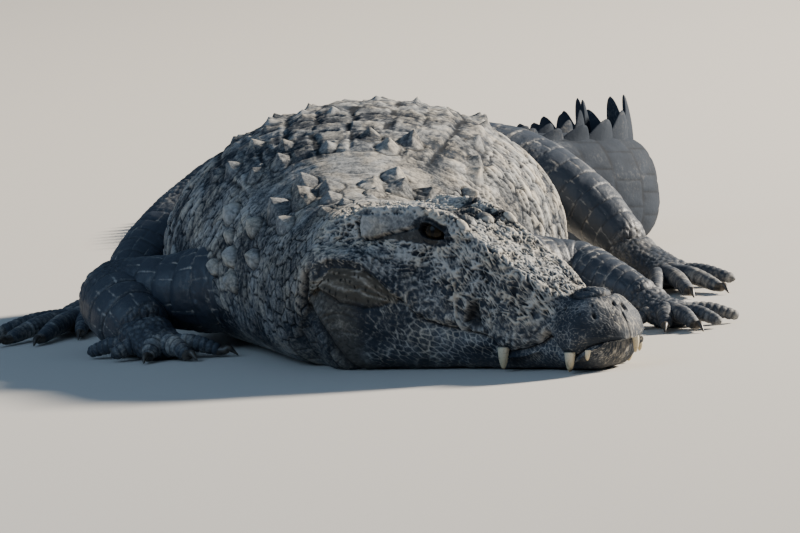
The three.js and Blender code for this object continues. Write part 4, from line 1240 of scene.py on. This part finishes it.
def limb_skin(p):
    """A limb: broad oblong scales in bands, dark and smooth, with thin lines of pale mud in the seams and a
    painted highlight along the edge beside each band's end seam.
    """
    wave = 8 * noise(p.at, 90, 2, 4) + 3 * noise(p.at, 30, 2, 5)
    net = bricks(p.s + wave, p.w + 0.3 * wave, p.band, 34, 0.4, seed=121)
    ends, sides = (crack(x, 0.2, 1.8) for x in (net.end, net.side))
    rough = noise(p.at, 12, 3, seed=122)
    lump = noise(p.at, 55, 2, seed=123)
    ring = np.floor((p.s + wave) / p.band)
    pale_sides = sides * (scatter(ring, np.floor(p.w / 60), seed=7) > 0.2)
    pale_ends = ends * (scatter(ring, np.floor(p.w / 45), seed=9) > 0.5 + 0.4 * p.relief)
    pale = np.maximum(pale_sides, pale_ends)
    # Pale mud stuck in the seams, and a painted highlight on the edge beside each end seam.
    stuck_mud_and_highlight = 0.50 * pale * smooth(rough, -0.8, -0.1) + 0.16 * band(net.end, 1.6, 4.2, 0.8)
    plates = p.relief * (2.2 * smooth(net.end, 0, 7) + net.share)
    return {
        "rise": plates - 0.7 * sides - 0.5 * ends + 0.9 * rough + 3.5 * lump,
        "mud": 0.04 + stuck_mud_and_highlight + 0.20 * rough + 0.12 * lump,
        "seam": 0.75 * np.maximum(ends, 0.6 * sides) * (1 - pale),
        "wet": 0.8,
    }


def joint_skin(p):
    """The elbow, heel and wrist: small round scales."""
    net = cells(p.s, p.w, 13, 12, 0.8, seed=141)
    rough = noise(p.at, 18, 3, seed=142)
    return {
        "rise": 1.8 * smooth(net.edge, 0, 4) + rough,
        "mud": 0.14 + 0.2 * net.n + 0.15 * rough,
        "seam": 0.7 * crack(net.edge, 0.3, 2.0),
        "wet": 0.7,
    }


def digit_skin(p):
    """A finger or toe: one broad scale after another over its back."""
    net = bricks(p.s, p.w, 11, 40, 0.2, seed=131)
    rough = noise(p.at, 9, 3, seed=132)
    return {
        "rise": 1.4 * smooth(net.end, 0, 3) + 0.5 * rough,
        "mud": 0.2 + 0.25 * net.n + 0.2 * rough,
        "seam": 0.7 * crack(net.end, 0.4, 1.8),
        "wet": 0.5,
    }


def joined(d, reach):
    """How far a point rises at the distance d from another form, so that the two run together."""
    h = np.clip(reach - np.maximum(d, 0), 0, None) / reach
    return h**2 * reach / 4 * smooth(d, -reach, -0.3 * reach)


def swell(patch, others, reach):
    """Raises a patch where it nears other tubes, so that they run into each other without a seam."""
    flat = patch.at.reshape(-1, 3)
    gain = np.zeros(len(flat))
    for centre, radius in others:
        low = centre.min(0) - radius.max() - reach
        high = centre.max(0) + radius.max() + reach
        near = np.nonzero(((flat > low) & (flat < high)).all(1))[0]
        d = np.full(len(near), FAR)
        for c, r in zip(centre[::2], radius[::2]):
            d = np.minimum(d, np.linalg.norm(flat[near] - c, axis=1) - r)
        gain[near] = np.maximum(gain[near], joined(d, reach))
    patch.rise += gain.reshape(patch.rise.shape)


def swell_from(patch, body, reach):
    """Raises a limb's patch where it comes out of the body."""
    skip = 4
    spots = body.at[::skip, ::skip].reshape(-1, 3)
    ways = body.normal[::skip, ::skip].reshape(-1, 3)
    tree = KDTree(len(spots))
    for k, spot in enumerate(spots):
        tree.insert(spot, k)
    tree.balance()
    flat = patch.at.reshape(-1, 3)
    d = np.full(len(flat), FAR)
    for n, point in enumerate(flat):
        _, k, far = tree.find(point)
        off = (point - spots[k]) @ ways[k]
        if far <= 3 * reach or off <= 0:
            d[n] = off
    patch.rise += joined(d, reach).reshape(patch.rise.shape)


def at_height(point, z):
    return np.array([point[0], point[1], z], float)


def make_limb(limb, arm):
    """One leg with its palm and digits, as a piece, and its claws."""
    arm.relief = np.full(arm.s.shape, limb["relief"])
    arm.band = np.full(arm.s.shape, float(limb["band"]))
    # The elbow or heel and the wrist or ankle have small round scales.
    bend = np.clip(1.6 - np.abs(arm.share * 4 - 2.1) * 2.4, 0, 1) * smooth(arm.relief, 0.4, 0.8)
    bend = np.maximum(bend, smooth(arm.share, 0.9, 0.98))
    layer(arm, 1 - bend, limb_skin)
    layer(arm, bend, joint_skin)
    wrist = np.array(limb["joints"][-1], float)
    middle, wide = np.array(limb["palm"][0], float), limb["palm"][1]
    ahead = middle - wrist
    before = at_height(wrist - 0.5 * ahead, wrist[2] + 8)
    end = at_height(middle + 0.5 * ahead, PALM_END_HEIGHT)
    radii = [0.9 * limb["radii"][-1], limb["radii"][-1], wide, 0.75 * wide]
    palm = tube([before, wrist, middle, end], radii, PALM_GRID, 0.6, 0.3)
    fingers = []
    for k, place_on_floor in enumerate(limb["digits"]):
        tip = at_height(place_on_floor, DIGIT_HEIGHTS[2])
        root = at_height(wrist + 0.8 * ahead, DIGIT_HEIGHTS[0])
        knuckle = at_height(root + 0.55 * (tip - root), DIGIT_HEIGHTS[1])
        r = limb["digit_radius"] * (1 if k in (1, 2) else 0.88)
        fingers.append(tube([root, knuckle, tip], [1.15 * r, r, 0.62 * r], DIGIT_GRID, 1.0, 0.1))
        if k < CLAWED_DIGITS:
            make_claw(limb, k, knuckle, tip, 0.62 * r)
    layer(palm, np.ones(palm.s.shape), joint_skin)
    swell(palm, [(f.centre, f.radius) for f in fingers], 14)
    swell(palm, [(arm.centre, arm.radius)], 24)
    for finger in fingers:
        layer(finger, np.ones(finger.s.shape), digit_skin)
        swell(finger, [(palm.centre, 0.6 * palm.radius)], 14)
    piece = Piece("skin_" + limb["name"])
    for patch in (arm, palm, *fingers):
        settle(patch)
        piece.add(patch.at, patch.normal, **shares(patch, limb=1.0))
    made = piece.build(limb_look)
    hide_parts(*limb["nodes"])


def make_claw(limb, k, knuckle, tip, radius):
    """A curved claw out of the end of a digit."""
    place_name = {"fore": "hand", "hind": "foot"}[limb["name"][:4]] + "_" + limb["name"].split("_")[1]
    ahead = unit(at_height(tip - knuckle, 0))
    middle = tip + ahead * 0.5 * CLAW_LENGTH + [0, 0, 3]
    end = at_height(tip + ahead * CLAW_LENGTH, 2)
    radii = [0.95 * radius, 0.85 * radius, 0.6 * radius, 0.9]
    claw = settle(tube([tip - ahead * 7, tip + ahead * 5, middle, end], radii, CLAW_GRID, 1.0, 0.04))
    made = Piece(f"claw_{place_name}_{k + 1}_horn").add(claw.at, claw.normal).build(claw_look)
    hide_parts(f"claw_{place_name}_{k + 1}")


# ---------- tail crest ----------
crest_height = table([
    [VENT, 6], [2060, 8], [2140, 12], [2200, 22], [2265, 38], [2300, 60], [2350, 78], [2430, 58],
    [2520, 46], [2620, 37], [2750, 37], [2850, 44], [3250, 46], [3750, 16],
])
crest_half = table([[VENT, 62], [2050, 50], [2350, 36], [2650, 18], [2800, 6]])
CREST_JOIN = 2800
DOUBLE_FINS = 17
SINGLE_FINS = 17
BARE_TIP = 40                     # length of the tail's end that has no fins
FIN_GRID = (20, 32)
FIN_SINK = 18                     # how deep a fin's foot lies in the tail


def add_fin(piece, k, s0, y0, height, pitch):
    """One tall scale of the crest: broad at its foot, drawn out to a point that leans back."""
    levels, angle = rings(FIN_GRID)
    height *= 0.88 + 0.24 * float(scatter(np.array(k), np.array(int(y0 > 0)), seed=151))
    long = pitch * 0.70 * (1 - levels) ** 0.62 + 1.2
    thick = 9 * (1 - levels) ** 0.5 + 1.0
    back = pitch * (-0.02 + 0.44 * levels**1.2)
    bow = 2.5 * np.sin(3 * levels + k) * levels
    u = s0 + back + long * np.cos(angle)
    v = y0 + bow + thick * np.sin(angle) * (1 - 0.35 * np.abs(np.cos(angle)))
    at = place(u, v, float(top_height(s0)) - FIN_SINK + (height + FIN_SINK) * levels)
    rough = noise(at, 12, 2, seed=152)
    # Painted shade: the fins are darkened like the tail, by low mud and the limb and seam shares.
    piece.add(at, outward(at), mud=0.04 + 0.08 * levels + 0.14 * rough, seam=0.2, limb=0.8)


def add_crest(piece, low, high):
    """The fins whose feet lie between two stations."""
    runs = [
        (VENT, CREST_JOIN, DOUBLE_FINS, (-1, 1)),
        (CREST_JOIN, TOTAL_LENGTH - BARE_TIP, SINGLE_FINS, (0,)),
    ]
    for first, last, count, sides in runs:
        pitch = (last - first) / count
        for k in range(count):
            s0 = first + (k + 0.5) * pitch
            if low <= s0 < high:
                for side in sides:
                    add_fin(piece, k, s0, side * float(crest_half(s0)), float(crest_height(s0)), pitch)


# ---------- teeth ----------
TEETH = [                         # [station, to the side, height of the root, length, radius]
    [34, 62, 36, 15, 4.5], [65, 70, 31, 28, 8.6], [199, 78, 36, 31, 9.5],
]
STAINED_TOOTH = 65                # station, on the right
FRONT_TOOTH = [8, 19, 48, 24, 5.5]    # on the left only
TOOTH_GRID = (30, 28)


def make_teeth():
    piece = Piece("teeth")
    levels, angle = rings(TOOTH_GRID, -0.12)
    grown = np.clip(levels, 0, 1)
    flutes = 1 + 0.025 * np.cos(9 * angle) * (1 - grown)
    taper = np.clip(1 - grown**3, 0, 1) ** 0.5 * (1 - 0.32 * grown)
    for side in (-1, 1):
        for s0, out, root, long, radius in TEETH + [FRONT_TOOTH] * (side > 0):
            r = (radius * taper + 0.25) * flutes
            tucked = 5 * (side > 0 and s0 > 20)
            u = s0 + r * np.cos(angle) + 2.5 * grown**2
            v = side * (out - tucked + 2.0 + 3 * grown * (1 - grown)) + 0.9 * r * np.sin(angle)
            at = place(u, v, root - long * levels)
            stain = grown * (s0 == STAINED_TOOTH) * (side < 0)
            piece.add(at, outward(at), mud=grown, seam=smooth(noise(at, 7, 2, 161), 0.0, 0.5) * stain)
    piece.build(tooth_look)


# ---------- eyeballs ----------
EYE_GRID = (60, 64)
PUPIL = [0.16, 0.62]              # half width and half height, as shares of the ball's radius


def make_eye(side):
    """The ball, with a slight bulge in front, and a slit pupil told by its fields."""
    centre, out, forward, _ = eye_axes(side)
    levels, angle = rings(EYE_GRID)
    polar = 0.02 + (np.pi - 0.04) * levels
    gaze = unit(out + 0.35 * forward)
    ahead = unit(forward - forward.dot(gaze) * gaze)
    above = np.cross(gaze, ahead)
    radius = EYE_RADIUS * (1 + 0.035 * bell(polar, 0, 0.62))
    x, y, z = np.sin(polar) * np.cos(angle), np.sin(polar) * np.sin(angle), np.cos(polar)
    way = x[..., None] * ahead + y[..., None] * above + z[..., None] * gaze
    iris = crack(np.hypot(x, y) + (z < 0), 0.66, 0.74)
    pupil = crack(np.hypot(x / PUPIL[0], y / PUPIL[1]), 0.8, 1.1) * (z > 0)
    name = "left" if side > 0 else "right"
    ball = Piece("eyeball_" + name).add(centre + way * radius[..., None], way, mud=iris, seam=pupil)
    made = ball.build(eye_look)
    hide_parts("eye_" + name)


# ---------- materials ----------
class Look:
    """A material, and short ways to wire nodes to its shader."""

    def __init__(self, name):
        self.material = bpy.data.materials.new(name)
        self.material.use_nodes = True
        self.tree = self.material.node_tree
        self.inputs = self.tree.nodes["Principled BSDF"].inputs

    def feed(self, socket, value):
        """Links another node's output to an input, or sets it to a number or colour."""
        if isinstance(value, bpy.types.NodeSocket):
            self.tree.links.new(value, socket)
        else:
            socket.default_value = (*value, 1) if isinstance(value, tuple) else value

    def node(self, kind, inputs, **settings):
        made = self.tree.nodes.new("ShaderNode" + kind)
        for name, value in settings.items():
            setattr(made, name, value)
        for key, value in inputs.items():
            self.feed(made.inputs[key], value)
        return made

    def field(self, name):
        return self.node("Attribute", {}, attribute_name=name).outputs["Fac"]

    def blend(self, factor, a, b):
        """A colour between two."""
        return self.node("Mix", {0: factor, 6: a, 7: b}, data_type="RGBA").outputs[2]

    def sums(self, operation, a, b, clamp=False):
        return self.node("Math", {0: a, 1: b}, operation=operation, use_clamp=clamp).outputs[0]

    def ramp(self, factor, low, high):
        """0 below low and 1 above high."""
        inputs = {"Value": factor, "From Min": low, "From Max": high}
        return self.node("MapRange", inputs, interpolation_type="SMOOTHSTEP").outputs["Result"]

    def lumps(self, scale, detail=4.0, roughness=0.55):
        where = self.node("TexCoord", {}).outputs["Object"]
        inputs = {"Vector": where, "Scale": scale, "Detail": detail, "Roughness": roughness}
        return self.node("TexNoise", inputs).outputs["Fac"]

    def bump(self, strength, distance, height, under=None):
        inputs = {"Strength": strength, "Distance": distance, "Height": height}
        if under is not None:
            inputs["Normal"] = under
        return self.node("Bump", inputs).outputs["Normal"]

    def finish(self, colour, roughness, strength, distance, scale):
        """Sets a colour, a roughness and one fine relief."""
        self.feed(self.inputs["Base Color"], colour)
        self.inputs["Roughness"].default_value = roughness
        self.feed(self.inputs["Normal"], self.bump(strength, distance, self.lumps(scale)))
        return self.material


HIDE_DARK = (0.018, 0.024, 0.034)
HIDE = (0.050, 0.060, 0.076)
LIMB_HIDE_AND_TAIL_SHADE = (0.030, 0.039, 0.055)
MUD = (0.41, 0.41, 0.395)
MUD_WARM = (0.51, 0.465, 0.39)
FLESH = (0.130, 0.116, 0.092)
SEAM_AND_SHADE = (0.010, 0.011, 0.013)


def skin_material(name, gloss):
    """Slate hide under dried mud, darker and smoother where it is wet, with dark seams. The seam, mud and
    limb fields also carry painted shade and painted light.
    """
    look = Look(name)
    mud, seam, wet, limb, flesh = (look.field(k) for k in FIELDS)
    patches = look.ramp(look.lumps(9, 5), 0.38, 0.64)
    speck = look.ramp(look.lumps(170, 5, 0.7), 0.40, 0.62)
    hide = look.blend(patches, HIDE_DARK, HIDE)
    hide = look.blend(limb, hide, LIMB_HIDE_AND_TAIL_SHADE)
    hide = look.blend(flesh, hide, FLESH)
    dried = look.blend(look.ramp(look.lumps(22, 4), 0.4, 0.62), MUD, MUD_WARM)
    caked = mud
    for spots, share in ((speck, 0.20), (patches, 0.22)):
        change = look.sums("MULTIPLY", look.sums("SUBTRACT", spots, 0.5), share)
        caked = look.sums("ADD", caked, change)
    amount = look.ramp(caked, 0.10, 0.98)
    colour = look.blend(amount, hide, dried)
    colour = look.blend(look.sums("MULTIPLY", seam, 0.92), colour, SEAM_AND_SHADE)
    look.feed(look.inputs["Base Color"], colour)
    damp = look.sums("MULTIPLY", wet, look.sums("SUBTRACT", 1.0, amount, clamp=True))
    look.feed(look.inputs["Roughness"], look.sums("SUBTRACT", 0.86, look.sums("MULTIPLY", damp, 0.48)))
    look.inputs["Specular IOR Level"].default_value = gloss
    fine = look.bump(0.35, 0.0010, look.lumps(420, 5, 0.6))
    look.feed(look.inputs["Normal"], look.bump(0.35, 0.0025, look.lumps(120, 4, 0.6), fine))
    return look.material


def horn_material():
    look = Look("claw_horn")
    spots = look.ramp(look.lumps(90), 0.35, 0.65)
    colour = look.blend(spots, (0.022, 0.019, 0.016), (0.075, 0.062, 0.048))
    return look.finish(colour, 0.38, 0.3, 0.0006, 300)


def tooth_material():
    """Ivory, yellower towards the tip, with dark stains."""
    look = Look("ivory")
    colour = look.blend(look.field("mud"), (0.62, 0.56, 0.42), (0.60, 0.48, 0.27))
    veins = look.ramp(look.lumps(240, 5), 0.52, 0.72)
    colour = look.blend(look.sums("MULTIPLY", veins, 0.5), colour, (0.20, 0.14, 0.08))
    colour = look.blend(look.field("seam"), colour, (0.03, 0.025, 0.02))
    return look.finish(colour, 0.34, 0.25, 0.0005, 260)


def eye_material():
    """A wet eye with a slit pupil, its brown iris darkened nearly to black as painted shade."""
    look = Look("eye")
    spots = look.ramp(look.lumps(300, 5), 0.35, 0.65)
    # Painted shade: the iris is nearly black.
    iris = look.blend(spots, (0.008, 0.006, 0.004), (0.020, 0.014, 0.006))
    colour = look.blend(look.field("mud"), (0.006, 0.005, 0.004), iris)
    colour = look.blend(look.field("seam"), colour, (0.003, 0.003, 0.003))
    look.inputs["Specular IOR Level"].default_value = 0.12
    return look.finish(colour, 0.22, 0.05, 0.0003, 200)


# ---------- the body ----------
BODY_NODES = {                    # what each piece of the body's skin stands for
    "snout": ["lower_jaw"],
    "head": ["head"],
    "neck": ["neck", "shoulders"],
    "trunk": ["torso"],
    "hips": ["hips"],
}
ROOT_REACH = 46                   # how near each other body and limb swell to meet


def make_body(arms):
    """The unbroken skin from the snout to the vent, cut across only into pieces that share their rims."""
    body = start(body_grid(body_stations(), UPPER_POINTS, LOWER_POINTS))
    dress_body(body)
    shape_head(body)
    shape_nose(body)
    shape_trunk(body)
    shape_eyes(body)
    body.rise *= smooth(body.s, 2, 14)
    swell(body, [(arm.centre, arm.radius) for arm in arms], ROOT_REACH)
    settle(body)
    # The tail has half as many points round, so the others of the last ring lie on its edges.
    rim = body.at[-1, 0::2]
    body.at[-1, 1::2] = 0.5 * (rim + np.roll(rim, -1, 0))
    edges = np.linspace(0, len(body.at) - 1, len(BODY_NODES) + 1).astype(int)
    for k, (name, nodes) in enumerate(BODY_NODES.items()):
        rows = slice(edges[k], edges[k + 1] + 1)
        piece = Piece("skin_" + name)
        piece.add(body.at[rows], body.normal[rows], (k == 0, False), **shares(body, rows))
        made = piece.build(skin_look)
        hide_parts(*nodes)
    return body


TAIL_CUT = 2500                   # station at which the tail's skin is cut in two pieces
FINE_TAIL_END = 2600
TAIL_STEPS = (5.2, 7.0)           # before and behind that station


def make_tail(body):
    """The tail's skin, which starts on every other point of the body's last ring, and its crest."""
    fine = np.arange(VENT, FINE_TAIL_END, TAIL_STEPS[0])
    coarse = np.arange(FINE_TAIL_END, TOTAL_LENGTH - 6, TAIL_STEPS[1])
    s = np.concatenate([fine, coarse, [TOTAL_LENGTH - 3]])
    tail = start(body_grid(s, (UPPER_POINTS + 1) // 2, (LOWER_POINTS + 1) // 2))
    layer(tail, np.ones(tail.s.shape), tail_skin)
    settle(tail)
    tail.at[0], tail.normal[0] = body.at[-1, ::2], body.normal[-1, ::2]
    cut = int(np.searchsorted(s, TAIL_CUT))
    nodes = [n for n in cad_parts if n.startswith("tail_")]
    halves = [
        (slice(0, cut + 1), 0, TAIL_CUT, nodes[:3]),
        (slice(cut, None), TAIL_CUT, TOTAL_LENGTH, nodes[3:]),
    ]
    for k, (rows, low, high, stood_for) in enumerate(halves):
        piece = Piece(f"skin_tail_{k + 1}")
        piece.add(tail.at[rows], tail.normal[rows], (False, k == 1), **shares(tail, rows))
        add_crest(piece, low, high)
        made = piece.build(skin_look)
        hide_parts(*stood_for)


skin_look = skin_material("croc_hide", 0.12)
limb_look = skin_material("croc_limb_hide", 0.5)
claw_look = horn_material()
tooth_look = tooth_material()
eye_look = eye_material()

arms = [tube(limb["joints"], limb["radii"], LIMB_GRID, 1.0, 0.07) for limb in LIMBS]
body = make_body(arms)
make_tail(body)
for limb, arm in zip(LIMBS, arms):
    swell_from(arm, body, ROOT_REACH)
    make_limb(limb, arm)
make_teeth()
for side in (-1, 1):
    make_eye(side)


# ---------- studio ----------
def make_floor():
    """A plain pale floor that runs far out of the picture."""
    size = 60.0
    corners = [(-size, -size, 0), (size, -size, 0), (size, size, 0), (-size, size, 0)]
    mesh = bpy.data.meshes.new("floor")
    mesh.from_pydata(corners, [], [(0, 1, 2, 3)])
    look = Look("floor")
    look.inputs["Base Color"].default_value = (0.57, 0.54, 0.49, 1)
    look.inputs["Roughness"].default_value = 0.9
    mesh.materials.append(look.material)
    into_scene("floor", mesh)


def area_light(name, position, target, size, power, colour):
    """A round lamp at a position, turned to a target."""
    data = bpy.data.lights.new(name, "AREA")
    data.shape = "DISK"
    data.size = size
    data.energy = power
    data.color = colour
    light = into_scene(name, data)
    light.location = position
    light.rotation_mode = "QUATERNION"
    light.rotation_quaternion = (Vector(target) - Vector(position)).to_track_quat("-Z", "Y")


def make_camera():
    """A level view along the azimuth and elevation, then rolled about its own axis."""
    a, e, r = (math.radians(x) for x in (CAMERA_AZIMUTH, CAMERA_ELEVATION, CAMERA_ROLL))
    ahead = Vector((-math.sin(a) * math.cos(e), math.cos(a) * math.cos(e), -math.sin(e)))
    right = ahead.cross(Vector((0, 0, 1))).normalized()
    up = right.cross(ahead)
    right, up = (right * math.cos(r) - up * math.sin(r), right * math.sin(r) + up * math.cos(r))
    data = bpy.data.cameras.new("camera")
    data.lens = LENS
    data.sensor_width = SENSOR_WIDTH
    data.clip_end = 500
    camera = into_scene("camera", data)
    turned = Matrix((right, up, -ahead)).transposed()
    camera.matrix_world = Matrix.Translation(CAMERA_TARGET - ahead * CAMERA_DISTANCE) @ turned.to_4x4()
    bpy.context.scene.camera = camera


make_floor()
make_camera()
area_light("sun", (-6.4, 13.5, 7.3), (0.1, 0, 0.15), size=2.2, power=11000, colour=(1.0, 0.91, 0.78))
area_light("sky", (4.5, -4.5, 4.5), (0.3, 0, 0.1), size=5.0, power=150, colour=(0.46, 0.69, 1.0))
world = bpy.data.worlds.new("studio")
world.use_nodes = True
world.node_tree.nodes["Background"].inputs["Color"].default_value = (0.48, 0.69, 1.0, 1)
world.node_tree.nodes["Background"].inputs["Strength"].default_value = 0.22
bpy.context.scene.world = world
